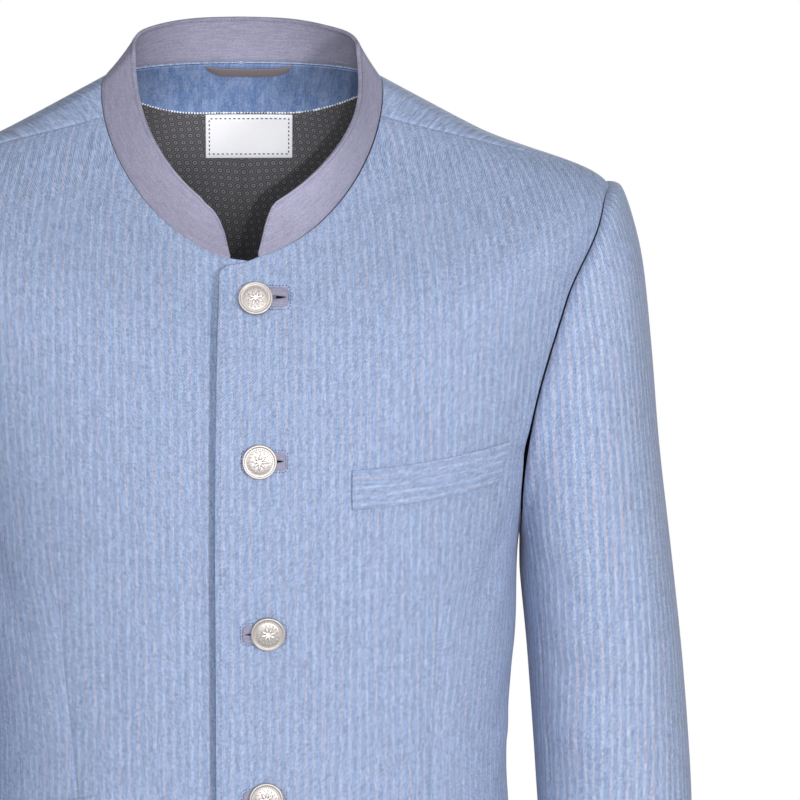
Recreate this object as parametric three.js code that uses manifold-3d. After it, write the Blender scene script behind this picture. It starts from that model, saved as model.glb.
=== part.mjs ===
// Trachten jacket for a man, size 50, standing in its worn form and open at neck, hem and cuffs.
// Millimetres. X runs to the wearer's left, Y to the wearer's back, Z up.
// The origin lies midway between the two shoulder points at the neck, where the jacket rests on the wearer.

import * as THREE from 'three';
import Module from 'manifold-3d';

// Cloth thicknesses
const BODY_WALL = 2.0;
const SLEEVE_WALL = 1.6;
const COLLAR_WALL = 2.4;
const FACING_WALL = 1.0;
const LINING_WALL = 0.8;
const WELT_WALL = 1.4;
const LIP_WALL = 0.8;
const LABEL_WALL = 0.7;
const LOOP_WALL = 1.0;
const SEAM_GAP = 0.3;
const LAID_GAP = 0.45;
const LINING_GAP = 0.6;

// Front closing
const OVERLAP_EDGE_TOP = 15.5;
const OVERLAP_EDGE_LOW = 19.0;
const UNDERLAP_EDGE = 20;
const UNDERLAP_DROP = 6.0;
const UNDERLAP_DROP_AT_NECK = 2.6;
const BUTTON_DIAMETER = 21.5;
const BUTTON_THICKNESS = 3.0;
const BUTTON_STAND = 1.9;
const SHANK_DIAMETER = 2.0;
const HOLE_LENGTH = 29;
const HOLE_HEIGHT = 11.5;
const SLIT_LENGTH = 24;
const SLIT_HEIGHT = 2.6;

// Collar, loop, label and neck facing
const COLLAR_HEIGHT_BACK = 30.5;
const COLLAR_HEIGHT_FRONT = 30;
const COLLAR_END_CURVE = 20;
const LOOP_LENGTH = 56;
const LOOP_WIDTH = 6.5;
const LOOP_SAG = 3;
const LOOP_STAND_OFF = 2.2;
const LABEL_WIDTH = 57;
const LABEL_X = 5;
const LABEL_ROWS = [8.855, 8.6, 8.4, 8.26];

// Rings of the body from hem to neck seam: row, height at front, side and back,
// half width, depth to the front and to the back, squareness front and back, rise front and back.
const BODY_RINGS = [
  [0, -745, -738, -733, 205, 124, 132, 2.3, 2.3, 2.0, 2.0],
  [1, -640, -640, -640, 196, 123, 134, 2.3, 2.3, 2.0, 2.0],
  [2, -535, -535, -535, 178.2, 118, 115, 2.3, 2.3, 2.0, 2.0],
  [3, -432, -432, -432, 170.3, 114, 96, 2.3, 2.3, 2.0, 2.0],
  [4, -350, -350, -350, 175.6, 122, 106, 2.35, 2.35, 2.0, 2.0],
  [5, -286, -280, -270, 178.8, 130, 117, 2.4, 2.4, 2.0, 2.0],
  [6, -230, -200, -195, 199, 133, 121, 2.4, 2.4, 2.0, 2.0],
  [7, -180, -119, -128, 224, 129, 115, 2.25, 2.3, 2.0, 2.0],
  [8, -143, -62, -66, 235, 118, 100, 2.1, 2.2, 1.8, 1.8],
  [9, -119, -30.5, -15.5, 157, 107, 80, 1.9, 2.3, 1.4, 1.2],
  [10, -99, 0, 13.5, 90.5, 97, 57, 1.7, 2.45, 1.1, 0.5],
];
const NECK_ROW = 10;

// Armhole on the body: top and bottom row, and how far it dips to the front and to the back in degrees
const ARMHOLE_TOP = 8;
const ARMHOLE_LOW = 5;
const ARMHOLE_DIP_FRONT = 26.5;
const ARMHOLE_DIP_BACK = 29;
const ARMHOLE_COLUMNS = 24;

// Shoulder seam lies a little forward of the top near the neck, in degrees
const SHOULDER_SEAM_SHIFT = 11;

// Rings of the sleeve: outer x and z, inner x and z, middle y, half depth front and back,
// squareness, and how much of the armhole's own bend the ring keeps.
const SLEEVE_RINGS = [
  [235, -62, 178.8, -280, 4, 66, 72, 2.2, 1.0],
  [243, -64, 179.4, -285, 2, 68, 74, 2.2, 0.9],
  [249.8, -80, 179.5, -289, 1, 70, 76, 2.2, 0.75],
  [257.4, -112, 179.4, -293, 0, 73, 77, 2.2, 0.55],
  [263.3, -165, 179.2, -298, 0, 75, 77, 2.2, 0.35],
  [268.8, -230, 179.0, -305, 0, 75, 76, 2.2, 0.15],
  [277, -300, 179.6, -320, 1, 72, 74, 2.2, 0.0],
  [284.3, -365, 184, -365, 1, 68, 69, 2.2, 0.0],
  [288.8, -420, 188.3, -425, -2, 63, 64, 2.2, 0.0],
  [291.3, -470, 192, -480, -7, 59, 60, 2.2, 0.0],
  [292.5, -560, 200, -568, -20, 53, 53, 2.2, 0.0],
  [292, -630, 207, -640, -34, 48, 48, 2.2, 0.0],
  [289, -690, 210, -697, -48, 44, 44, 2.2, 0.0],
];
const UNDER_SLEEVE_FRONT = 10;
const UNDER_SLEEVE_BACK = 16;
const SLEEVE_STEPS = [0, 0.5, 1, 1.6, 2.3, 3, 4, 5, 6, 7, 8.3, 9.6, 10.8, 12];

// Rows of the body panels below, along and above the armhole
const ROWS_BELOW = [0, 0.5, 1, 1.6, 2.15, 2.65, 3.1, 3.7, 4.4];
const ROWS_ABOVE = [8.4, 8.8, 9.2, 9.6, 10];
const NEAR_COLUMNS = [9.4, 17, 27];
const FIRST_COLLAR_COLUMN = 3;
const FRONT_COLUMNS = 13;
const BACK_COLUMNS = 8;
const LINING_HEM_ROW = 0.12;

// Buttons down the front: x and z of the middle, and x of the middle of the buttonhole
const BUTTONS = [
  [6.8, -124.3, 13.0],
  [8.7, -222.6, 9.5],
  [13.6, -332.3, 6.5],
  [12.2, -440.4, 8.5],
  [11.0, -547.0, 8.5],
];

// Chest welt: corners as row and column of the front, top edge then bottom edge
const WELT_CORNERS = {
  top: [[6.0, 6.37], [5.91, 11.53]],
  bottom: [[5.55, 6.37], [5.55, 11.23]],
};

// Hip flaps: corners as row and column of the front, top edge then bottom edge
const FLAP_CORNERS = {
  left: { top: [[2.87, 7.2], [2.54, 12.3]], bottom: [[2.37, 7.25], [2.04, 12.35]] },
  right: { top: [[2.93, 7.2], [2.6, 12.3]], bottom: [[2.43, 7.25], [2.1, 12.35]] },
};

const COLOURS = {
  blue: 0xa7b6d5,
  mauve: 0x9f9fb9,
  mirrorGrey: 0x4a4a50,
  silver: 0xcdc5c3,
  satin: 0xe6e6ea,
  tape: 0x6f6a70,
};

const HALF_TURN = Math.PI / 2;
const RAD = Math.PI / 180;

function smooth(t) {
  const c = Math.min(1, Math.max(0, t));
  return c * c * (3 - 2 * c);
}

function spread(from, to, count) {
  return Array.from({ length: count + 1 }, (_, k) => from + ((to - from) * k) / count);
}

function hermite(p0, p1, m0, m1, t) {
  const a = (1 + 2 * t) * (1 - t) * (1 - t);
  const b = t * (1 - t) * (1 - t);
  const c = t * t * (3 - 2 * t);
  const d = t * t * (t - 1);
  return a * p0 + b * m0 + c * p1 + d * m1;
}

// Value of one column of a ring table at a row between the rings
function along(table, column, row) {
  const last = table.length - 2;
  const i = Math.min(last, Math.max(0, Math.floor(row)));
  const value = (k) => table[k][column];
  const slope = (k) => {
    if (k === 0) return value(1) - value(0);
    if (k === table.length - 1) return value(k) - value(k - 1);
    return (value(k + 1) - value(k - 1)) / 2;
  };
  return hermite(value(i), value(i + 1), slope(i), slope(i + 1), row - i);
}

// Point of the body surface at a row and an angle from the centre front
function body(row, angle) {
  const zFront = along(BODY_RINGS, 1, row);
  const zSide = along(BODY_RINGS, 2, row);
  const zBack = along(BODY_RINGS, 3, row);
  const half = along(BODY_RINGS, 4, row);
  const front = Math.cos(angle) >= 0;
  const depth = along(BODY_RINGS, front ? 5 : 6, row);
  const square = along(BODY_RINGS, front ? 7 : 8, row);
  const rise = along(BODY_RINGS, front ? 9 : 10, row);
  const c = Math.abs(Math.cos(angle));
  const s = Math.abs(Math.sin(angle));
  const x = half * Math.sign(Math.sin(angle)) * s ** (2 / square);
  const y = (front ? -1 : 1) * depth * c ** (2 / square);
  const z = zSide + ((front ? zFront : zBack) - zSide) * c ** rise;
  return new THREE.Vector3(x, y, z);
}

function bodyNormal(row, angle) {
  const step = 0.012;
  const top = Math.min(NECK_ROW, row + step);
  const low = Math.max(0, row - step);
  const alongRow = body(row, angle + step).sub(body(row, angle - step));
  const upward = body(top, angle).sub(body(low, angle));
  return alongRow.cross(upward).normalize();
}

// Angle at which a row of the front passes a given x
function angleAtX(row, x) {
  const half = along(BODY_RINGS, 4, row);
  const square = along(BODY_RINGS, 7, row);
  return Math.sign(x) * Math.asin((Math.abs(x) / half) ** (square / 2));
}

// How far a front lies outside the body surface near the centre: the left front
// laps over and lifts a little, the right front sinks below it.
function frontLift(side, row, x) {
  if (side > 0) {
    return 0.8 * smooth((4 - x) / 20);
  }
  const deep = UNDERLAP_DROP_AT_NECK
    + (UNDERLAP_DROP - UNDERLAP_DROP_AT_NECK) * smooth((NECK_ROW - row) / 1.4);
  return -deep * smooth((40 - x) / 24);
}

function bodyAt(side, row, angle, out) {
  const p = body(row, angle);
  const n = bodyNormal(row, angle);
  const lift = Math.cos(angle) > 0.3 ? frontLift(side, row, p.x) : 0;
  p.addScaledVector(n, lift + out);
  return p;
}

// Armhole as row and angle for a turn round it: 0 at the shoulder, 90 in front, 180 at the armpit
function armhole(turn) {
  const c = Math.cos(turn);
  const s = Math.sin(turn);
  const row = (ARMHOLE_TOP + ARMHOLE_LOW) / 2 + ((ARMHOLE_TOP - ARMHOLE_LOW) / 2) * c;
  const dip = Math.abs(s) < 1e-9 ? 0 : Math.abs(s) ** (0.75 - 0.25 * c);
  const degrees = s >= 0 ? -ARMHOLE_DIP_FRONT * dip : ARMHOLE_DIP_BACK * dip;
  return { row, angle: HALF_TURN + degrees * RAD };
}

function sleeveOval(ring, turn) {
  const [ox, oz, ix, iz, middle, front, back, square] = ring;
  const c = Math.cos(turn);
  const s = Math.sin(turn);
  const cc = Math.sign(c) * Math.abs(c) ** (2 / square);
  const ss = Math.sign(s) * Math.abs(s) ** (2 / square);
  const y = middle - (s >= 0 ? front : back) * ss;
  const x = (ox + ix) / 2 + ((ox - ix) / 2) * cc;
  const z = (oz + iz) / 2 + ((oz - iz) / 2) * cc;
  return new THREE.Vector3(x, y, z);
}

// Point of the sleeve surface at a step down the sleeve and a turn round it
function sleeve(step, turn) {
  const hole = armhole(turn);
  const bend = body(hole.row, hole.angle).sub(sleeveOval(SLEEVE_RINGS[0], turn));
  const ringPoint = (k) => sleeveOval(SLEEVE_RINGS[k], turn).addScaledVector(bend, SLEEVE_RINGS[k][8]);
  const count = SLEEVE_RINGS.length;
  const i = Math.min(count - 2, Math.max(0, Math.floor(step)));
  const slope = (k) => {
    if (k === 0) return ringPoint(1).sub(ringPoint(0));
    if (k === count - 1) return ringPoint(k).sub(ringPoint(k - 1));
    return ringPoint(k + 1).sub(ringPoint(k - 1)).multiplyScalar(0.5);
  };
  const p0 = ringPoint(i);
  const p1 = ringPoint(i + 1);
  const m0 = slope(i);
  const m1 = slope(i + 1);
  const t = step - i;
  return new THREE.Vector3(
    hermite(p0.x, p1.x, m0.x, m1.x, t),
    hermite(p0.y, p1.y, m0.y, m1.y, t),
    hermite(p0.z, p1.z, m0.z, m1.z, t),
  );
}

function sleeveNormal(step, turn) {
  const d = 0.02;
  const low = Math.min(12, step + d);
  const top = Math.max(0, step - d);
  const round = sleeve(step, turn + d).sub(sleeve(step, turn - d));
  const down = sleeve(low, turn).sub(sleeve(top, turn));
  return round.cross(down).normalize();
}

// Directions in which the walls of body and sleeve run inward along the armhole seam
function armholeSeam(turn) {
  const hole = armhole(turn);
  const nBody = bodyNormal(hole.row, hole.angle);
  const down = sleeve(0.6, turn).sub(sleeve(0, turn)).normalize();
  const round = sleeve(0, turn + 0.05).sub(sleeve(0, turn - 0.05)).normalize();
  const nSleeve = round.clone().cross(down).normalize();
  const share = smooth((nBody.dot(nSleeve) + 0.5) / 0.8);
  const mitre = nBody.clone().add(nSleeve).normalize();
  const inBody = nBody.clone().lerp(mitre, share).normalize().negate();
  const inSleeve = nSleeve.clone().lerp(mitre, share).normalize().negate();
  const away = nBody.clone().lerp(down, share);
  away.addScaledVector(round, -away.dot(round)).normalize();
  return { inBody, inSleeve, away };
}

// A closed sheet of cloth from a grid of outer points and the grid of inner points behind it
function sheet(outer, inner) {
  const rows = outer.length;
  const columns = outer[0].length;
  const points = [];
  for (const grid of [outer, inner]) {
    for (const line of grid) {
      for (const p of line) points.push(p.x, p.y, p.z);
    }
  }
  const id = (layer, i, j) => layer * rows * columns + i * columns + j;
  const faces = [];
  const quad = (a, b, c, d) => faces.push(a, b, c, a, c, d);
  for (let i = 0; i < rows - 1; i++) {
    for (let j = 0; j < columns - 1; j++) {
      quad(id(0, i, j), id(0, i, j + 1), id(0, i + 1, j + 1), id(0, i + 1, j));
      quad(id(1, i, j), id(1, i + 1, j), id(1, i + 1, j + 1), id(1, i, j + 1));
    }
  }
  for (let j = 0; j < columns - 1; j++) {
    quad(id(0, 0, j), id(1, 0, j), id(1, 0, j + 1), id(0, 0, j + 1));
    quad(id(0, rows - 1, j), id(0, rows - 1, j + 1), id(1, rows - 1, j + 1), id(1, rows - 1, j));
  }
  for (let i = 0; i < rows - 1; i++) {
    quad(id(0, i, 0), id(0, i + 1, 0), id(1, i + 1, 0), id(1, i, 0));
    quad(id(0, i, columns - 1), id(1, i, columns - 1), id(1, i + 1, columns - 1), id(0, i + 1, columns - 1));
  }
  return facingOut(points, faces);
}

function facingOut(points, faces) {
  let volume = 0;
  const v = (k) => new THREE.Vector3(points[3 * k], points[3 * k + 1], points[3 * k + 2]);
  for (let k = 0; k < faces.length; k += 3) {
    volume += v(faces[k]).dot(v(faces[k + 1]).cross(v(faces[k + 2])));
  }
  const index = faces.slice();
  if (volume < 0) {
    for (let k = 0; k < index.length; k += 3) {
      [index[k + 1], index[k + 2]] = [index[k + 2], index[k + 1]];
    }
  }
  const geometry = new THREE.BufferGeometry();
  geometry.setAttribute('position', new THREE.Float32BufferAttribute(points, 3));
  geometry.setIndex(index);
  geometry.computeVertexNormals();
  return geometry;
}

function mirrorX(grid, side) {
  return grid.map((line) => line.map((p) => new THREE.Vector3(p.x * side, p.y, p.z)));
}

// Moves one edge column of both faces toward its neighbour, which opens the seam
function openSeam(outer, inner, column, neighbour, amount) {
  for (let i = 0; i < outer.length; i++) {
    const step = outer[i][neighbour].clone().sub(outer[i][column]).normalize().multiplyScalar(amount);
    outer[i][column].add(step);
    inner[i][column].add(step);
  }
}

const ARM_ROWS = Array.from({ length: ARMHOLE_COLUMNS / 2 + 1 }, (_, k) => {
  const turn = Math.PI - (k * 2 * Math.PI) / ARMHOLE_COLUMNS;
  return { row: armhole(turn).row, turn };
});
const PANEL_ROWS = [
  ...ROWS_BELOW.map((row) => ({ row, turn: null })),
  ...ARM_ROWS,
  ...ROWS_ABOVE.map((row) => ({ row, turn: null })),
];

function shoulderSeam(row) {
  return HALF_TURN - SHOULDER_SEAM_SHIFT * RAD * smooth((row - ARMHOLE_TOP) / (NECK_ROW - ARMHOLE_TOP));
}

function sideAngle(entry, backward) {
  if (entry.turn === null) {
    return entry.row > ARMHOLE_TOP ? shoulderSeam(entry.row) : HALF_TURN;
  }
  return armhole(backward ? -entry.turn : entry.turn).angle;
}

// The overlapping front's top edge falls a little beyond the collar's end and its corner is rounded
function topFall(side, x) {
  if (side < 0) {
    return 0.2 * smooth((2 - x) / 18);
  }
  return 0.22 * smooth((11 - x) / 20) + 0.3 * smooth((-8 - x) / 9);
}

function wallGrid(cells, wall) {
  return {
    outer: cells.map((line) => line.map(({ p }) => p)),
    inner: cells.map((line) => line.map(({ p, inward }) => p.clone().addScaledVector(inward, wall))),
  };
}

function frontGrid(side) {
  const cells = PANEL_ROWS.map((entry) => {
    const top = smooth((NECK_ROW - entry.row) / 5);
    const edgeX = side > 0
      ? -(OVERLAP_EDGE_TOP + (OVERLAP_EDGE_LOW - OVERLAP_EDGE_TOP) * top)
      : -UNDERLAP_EDGE;
    const near = [edgeX, edgeX + 5, edgeX + 13, ...NEAR_COLUMNS].map((x) => angleAtX(entry.row, x));
    const fixed = near.length - 1;
    const last = sideAngle(entry, false);
    for (let j = fixed + 1; j <= FRONT_COLUMNS; j++) {
      near.push(near[fixed] + ((last - near[fixed]) * (j - fixed)) / (FRONT_COLUMNS - fixed));
    }
    return near.map((angle, j) => {
      const x = body(entry.row, angle).x;
      const row = entry.row - topFall(side, x) * smooth((entry.row - 8) / 2);
      const onArmhole = j === FRONT_COLUMNS && entry.turn !== null;
      const inward = onArmhole ? armholeSeam(entry.turn).inBody : bodyNormal(row, angle).negate();
      return { p: bodyAt(side, row, angle, 0), inward };
    });
  });
  const grid = wallGrid(cells, BODY_WALL);
  openSeam(grid.outer, grid.inner, FRONT_COLUMNS, FRONT_COLUMNS - 1, SEAM_GAP / 2);
  return grid;
}

function backGrid() {
  const cells = PANEL_ROWS.map((entry) => {
    const first = sideAngle(entry, true);
    return spread(first, Math.PI, BACK_COLUMNS).map((angle, j) => {
      const onArmhole = j === 0 && entry.turn !== null;
      const inward = onArmhole ? armholeSeam(-entry.turn).inBody : bodyNormal(entry.row, angle).negate();
      if (j === BACK_COLUMNS) inward.x = 0;
      return { p: body(entry.row, angle), inward };
    });
  });
  const grid = wallGrid(cells, BODY_WALL);
  openSeam(grid.outer, grid.inner, 0, 1, SEAM_GAP / 2);
  openSeam(grid.outer, grid.inner, BACK_COLUMNS, BACK_COLUMNS - 1, SEAM_GAP / 2);
  return grid;
}

function panel(grid, side) {
  return sheet(mirrorX(grid.outer, side), mirrorX(grid.inner, side));
}

// Point on the outer or inner face of a panel at a body row and a column number,
// with the direction in which its wall stands
function onPanel(grid, face, row, column) {
  let i = 0;
  while (i < PANEL_ROWS.length - 2 && PANEL_ROWS[i + 1].row < row) i++;
  const t = (row - PANEL_ROWS[i].row) / (PANEL_ROWS[i + 1].row - PANEL_ROWS[i].row);
  const j = Math.min(grid.outer[0].length - 2, Math.max(0, Math.floor(column)));
  const u = column - j;
  const mix = (layer) => {
    const a = layer[i][j];
    const b = layer[i][j + 1];
    const c = layer[i + 1][j + 1];
    const d = layer[i + 1][j];
    const p = a.clone();
    if (u >= t) {
      return p.addScaledVector(b.clone().sub(a), u).addScaledVector(c.clone().sub(b), t);
    }
    return p.addScaledVector(d.clone().sub(a), t).addScaledVector(c.clone().sub(d), u);
  };
  const outside = mix(grid.outer);
  const inside = mix(grid.inner);
  const normal = outside.clone().sub(inside).normalize();
  return { point: face === 'outer' ? outside : inside, normal };
}

// Column number at which a row of a panel passes a given x
function columnAtX(grid, row, x) {
  const count = grid.outer[0].length;
  const xs = Array.from({ length: count }, (_, j) => onPanel(grid, 'inner', row, j).point.x);
  for (let j = 0; j < count - 1; j++) {
    const inside = (xs[j] - x) * (xs[j + 1] - x) <= 0;
    if (inside && xs[j] !== xs[j + 1]) return j + (x - xs[j]) / (xs[j + 1] - xs[j]);
  }
  return count - 1;
}

// Point of a front seen straight from the front at x and z
function onFront(grid, x, z) {
  let best = null;
  for (let i = 0; i < PANEL_ROWS.length - 1; i++) {
    for (let j = 0; j < FRONT_COLUMNS - 3; j++) {
      const low = grid.outer[i];
      const high = grid.outer[i + 1];
      const halves = [[low[j], low[j + 1], high[j + 1]], [low[j], high[j + 1], high[j]]];
      for (const [a, b, c] of halves) {
        const det = (b.x - a.x) * (c.z - a.z) - (c.x - a.x) * (b.z - a.z);
        const u = ((x - a.x) * (c.z - a.z) - (c.x - a.x) * (z - a.z)) / det;
        const w = ((b.x - a.x) * (z - a.z) - (x - a.x) * (b.z - a.z)) / det;
        if (u >= -1e-9 && w >= -1e-9 && u + w <= 1 + 1e-9) {
          const y = a.y + u * (b.y - a.y) + w * (c.y - a.y);
          if (best === null || y < best) best = y;
        }
      }
    }
  }
  return new THREE.Vector3(x, best, z);
}

function sleevePanel(side, from, to) {
  const outer = [];
  const inner = [];
  for (const step of SLEEVE_STEPS) {
    const outerLine = [];
    const innerLine = [];
    for (let k = from; k <= to; k++) {
      const turn = (k * 2 * Math.PI) / ARMHOLE_COLUMNS;
      const p = sleeve(step, turn);
      let inward = sleeveNormal(step, turn).negate();
      if (step === 0) {
        const seam = armholeSeam(turn);
        inward = seam.inSleeve;
        p.addScaledVector(seam.away, SEAM_GAP);
      }
      outerLine.push(p);
      innerLine.push(p.clone().addScaledVector(inward, SLEEVE_WALL));
    }
    outer.push(outerLine);
    inner.push(innerLine);
  }
  const last = to - from;
  openSeam(outer, inner, 0, 1, SEAM_GAP / 2);
  openSeam(outer, inner, last, last - 1, SEAM_GAP / 2);
  return sheet(mirrorX(outer, side), mirrorX(inner, side));
}

// Neck seam from the wearer's left collar end round the back to the right end
function neckSeam() {
  const half = (side) => {
    const front = FRONTS.get(side).outer.at(-1);
    const back = BACK.outer.at(-1);
    const list = [];
    for (let j = FIRST_COLLAR_COLUMN; j <= FRONT_COLUMNS; j++) {
      list.push(front[j].clone());
      const near = j - FIRST_COLLAR_COLUMN;
      const cuts = [2, 2, 0][Math.min(near, 2)];
      for (let k = 1; k <= cuts; k++) list.push(front[j].clone().lerp(front[j + 1], k / (cuts + 1)));
    }
    for (let j = 1; j < BACK_COLUMNS; j++) list.push(back[j].clone());
    list.forEach((p) => { p.x *= side; });
    return list;
  };
  const middle = BACK.outer.at(-1)[BACK_COLUMNS].clone();
  middle.x = 0;
  return [...half(1), middle, ...half(-1).reverse()];
}

// Lean of the collar towards the neck in degrees: bearing of a seam point from the centre front,
// lean on the wearer's left, lean on the wearer's right
const COLLAR_LEAN = [
  [0, 41, 41],
  [30, 41, 41],
  [60, 33, 38],
  [90, 29, 36],
  [120, 42, 43],
  [150, 24, 24],
  [180, 18, 18],
];

function collarLean(bearing, side) {
  return along(COLLAR_LEAN, side < 0 ? 2 : 1, bearing / 30);
}

function collarHeight(bearing, runFromEnd) {
  const full = COLLAR_HEIGHT_FRONT
    + (COLLAR_HEIGHT_BACK - COLLAR_HEIGHT_FRONT) * smooth((bearing - 20) / 120);
  const end = Math.sin(HALF_TURN * Math.min(1, (runFromEnd + 1.2) / COLLAR_END_CURVE));
  return full * end;
}

function collarPiece() {
  const base = neckSeam();
  const runs = [0];
  for (let k = 1; k < base.length; k++) runs.push(runs[k - 1] + base[k].distanceTo(base[k - 1]));
  const total = runs[runs.length - 1];
  const shares = [0, 0.34, 0.67, 1];
  const outer = shares.map(() => []);
  const inner = shares.map(() => []);
  base.forEach((start, k) => {
    const next = base[Math.min(base.length - 1, k + 1)];
    const before = base[Math.max(0, k - 1)];
    const outward = new THREE.Vector3(next.y - before.y, before.x - next.x, 0).normalize();
    const bearing = Math.atan2(Math.abs(start.x), -start.y) / RAD;
    const height = collarHeight(bearing, Math.min(runs[k], total - runs[k]));
    const p = start.clone();
    shares.forEach((share, r) => {
      const lean = (collarLean(bearing, Math.sign(start.x)) + 8 * (0.5 - share)) * RAD;
      const up = new THREE.Vector3(0, 0, Math.cos(lean)).addScaledVector(outward, -Math.sin(lean));
      const face = new THREE.Vector3(0, 0, Math.sin(lean)).addScaledVector(outward, Math.cos(lean));
      p.addScaledVector(up, r === 0 ? SEAM_GAP : (share - shares[r - 1]) * height);
      outer[r].push(p.clone());
      const inward = face.clone();
      if (r === 0) inward.add(neckNormal(start));
      inner[r].push(p.clone().addScaledVector(inward.normalize(), -COLLAR_WALL));
    });
  });
  return sheet(outer, inner);
}

// Direction square to the body at the neck seam point nearest to a given one
function neckNormal(point) {
  let best = null;
  let least = Infinity;
  for (const angle of spread(0, Math.PI, 180)) {
    const distance = body(NECK_ROW, angle).distanceTo(new THREE.Vector3(Math.abs(point.x), point.y, point.z));
    if (distance < least) {
      least = distance;
      best = bodyNormal(NECK_ROW, angle);
    }
  }
  if (point.x < 0) best.x *= -1;
  return best;
}

// Lower edge of the neck facing as a body row, by column of the back
function facingEdge(column) {
  return 9.48 - 0.61 * smooth((column - 4) / 3.4);
}

function skin(rowsAt, columns, gapAt, wall) {
  const outer = [];
  const inner = [];
  const steps = rowsAt(columns[0]).length;
  for (let i = 0; i < steps; i++) {
    const a = [];
    const b = [];
    for (const column of columns) {
      const over = column > BACK_COLUMNS;
      const own = over ? 2 * BACK_COLUMNS - column : column;
      const { point, normal } = onPanel(BACK, 'inner', rowsAt(own)[i], own);
      const side = over ? -1 : 1;
      const middle = own === BACK_COLUMNS && columns.at(-1) > BACK_COLUMNS;
      const shift = new THREE.Vector3(middle ? 0 : point.x * side, point.y, point.z);
      normal.x *= middle ? 0 : side;
      const gap = gapAt(own);
      a.push(shift.clone().addScaledVector(normal, -gap));
      b.push(shift.clone().addScaledVector(normal, -gap - wall));
    }
    outer.push(a);
    inner.push(b);
  }
  return { outer, inner };
}

function neckFacing() {
  const half = [0.06, ...spread(1, BACK_COLUMNS, BACK_COLUMNS - 1)];
  const columns = [...half, ...half.slice(0, -1).reverse().map((c) => 2 * BACK_COLUMNS - c)];
  const rowsAt = (column) => {
    const edge = facingEdge(column);
    return [edge, Math.max(edge + 0.06, 9.2), 9.6, 9.97];
  };
  const { outer, inner } = skin(rowsAt, columns, () => SEAM_GAP, FACING_WALL);
  return sheet(outer, inner);
}

function backLining(side) {
  const columns = [0.6, ...spread(1, BACK_COLUMNS, BACK_COLUMNS - 1)];
  const rows = PANEL_ROWS.map((entry) => entry.row).filter((row) => row < 8.3);
  const rowsAt = (column) => {
    const edge = facingEdge(column) - 0.014;
    const upper = [8.4, Math.min(8.8, edge - 0.12), Math.min(9.2, edge - 0.06), edge];
    return [LINING_HEM_ROW, ...rows.slice(1), ...upper];
  };
  const gapAt = (column) => (column < 1 ? 2 * LINING_GAP : LINING_GAP);
  const { outer, inner } = skin(rowsAt, columns, gapAt, LINING_WALL);
  return sheet(mirrorX(outer, side), mirrorX(inner, side));
}

function hangerLoop() {
  const outer = [];
  const inner = [];
  const rowLength = 36;
  for (const down of [0, LOOP_WIDTH]) {
    const a = [];
    const b = [];
    for (const t of spread(-1, 1, 12)) {
      const x = LABEL_X + (t * LOOP_LENGTH) / 2;
      const free = 1 - t * t;
      const row = 9.985 - (LOOP_SAG * free + down) / rowLength;
      const { point, normal } = onPanel(BACK, 'inner', row, columnAtX(BACK, row, Math.abs(x)));
      point.x = x;
      normal.x *= Math.sign(x);
      const depth = SEAM_GAP + FACING_WALL + LAID_GAP + LOOP_STAND_OFF * smooth(free * 1.6);
      a.push(point.clone().addScaledVector(normal, -depth));
      b.push(point.clone().addScaledVector(normal, -depth - LOOP_WALL));
    }
    outer.push(a);
    inner.push(b);
  }
  return sheet(outer, inner);
}

function labelPiece() {
  const depth = LINING_GAP + LINING_WALL + LAID_GAP;
  const outer = [];
  const inner = [];
  for (const row of LABEL_ROWS) {
    const a = [];
    const b = [];
    for (const t of [-1, -0.5, 0, 0.5, 1]) {
      const x = LABEL_X + (t * LABEL_WIDTH) / 2;
      const column = columnAtX(BACK, row, Math.abs(x));
      const { point, normal } = onPanel(BACK, 'inner', row, column);
      point.x = x;
      normal.x *= Math.sign(x);
      a.push(point.clone().addScaledVector(normal, -depth));
      b.push(point.clone().addScaledVector(normal, -depth - LABEL_WALL));
    }
    outer.push(a);
    inner.push(b);
  }
  return sheet(outer, inner);
}

// A flat piece laid on a front between two edges, each from one row and column to another
function laidOn(side, corners, wall) {
  const [start, end] = corners.top;
  const columns = [start[1]];
  for (let j = Math.ceil(start[1] + 0.05); j < end[1] - 0.05; j++) columns.push(j);
  columns.push(end[1]);
  const lines = columns.map((column) => {
    const t = (column - start[1]) / (end[1] - start[1]);
    const [low0, low1] = corners.bottom;
    const low = low0[0] + (low1[0] - low0[0]) * t;
    const high = start[0] + (end[0] - start[0]) * t;
    const lowColumn = low0[1] + (low1[1] - low0[1]) * t;
    return [0, 0.33, 0.67, 1].map((share) => {
      const row = low + (high - low) * share;
      return onPanel(FRONTS.get(side), 'outer', row, lowColumn + (column - lowColumn) * share);
    });
  });
  const lifted = ({ point, normal }, out) => point.clone().addScaledVector(normal, out);
  const layer = (out) => lines[0].map((_, r) => lines.map((line) => lifted(line[r], out)));
  return sheet(mirrorX(layer(LAID_GAP + wall), side), mirrorX(layer(LAID_GAP), side));
}

function frontNormal(x, z) {
  const p = onFront(FRONTS.get(1), x, z);
  const right = onFront(FRONTS.get(1), x + 6, z).sub(onFront(FRONTS.get(1), x - 6, z));
  const up = onFront(FRONTS.get(1), p.x, z + 6).sub(onFront(FRONTS.get(1), p.x, z - 6));
  return right.cross(up).normalize();
}

function frontPoint(x, z, out) {
  return onFront(FRONTS.get(1), x, z).addScaledVector(frontNormal(x, z), out);
}

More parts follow.
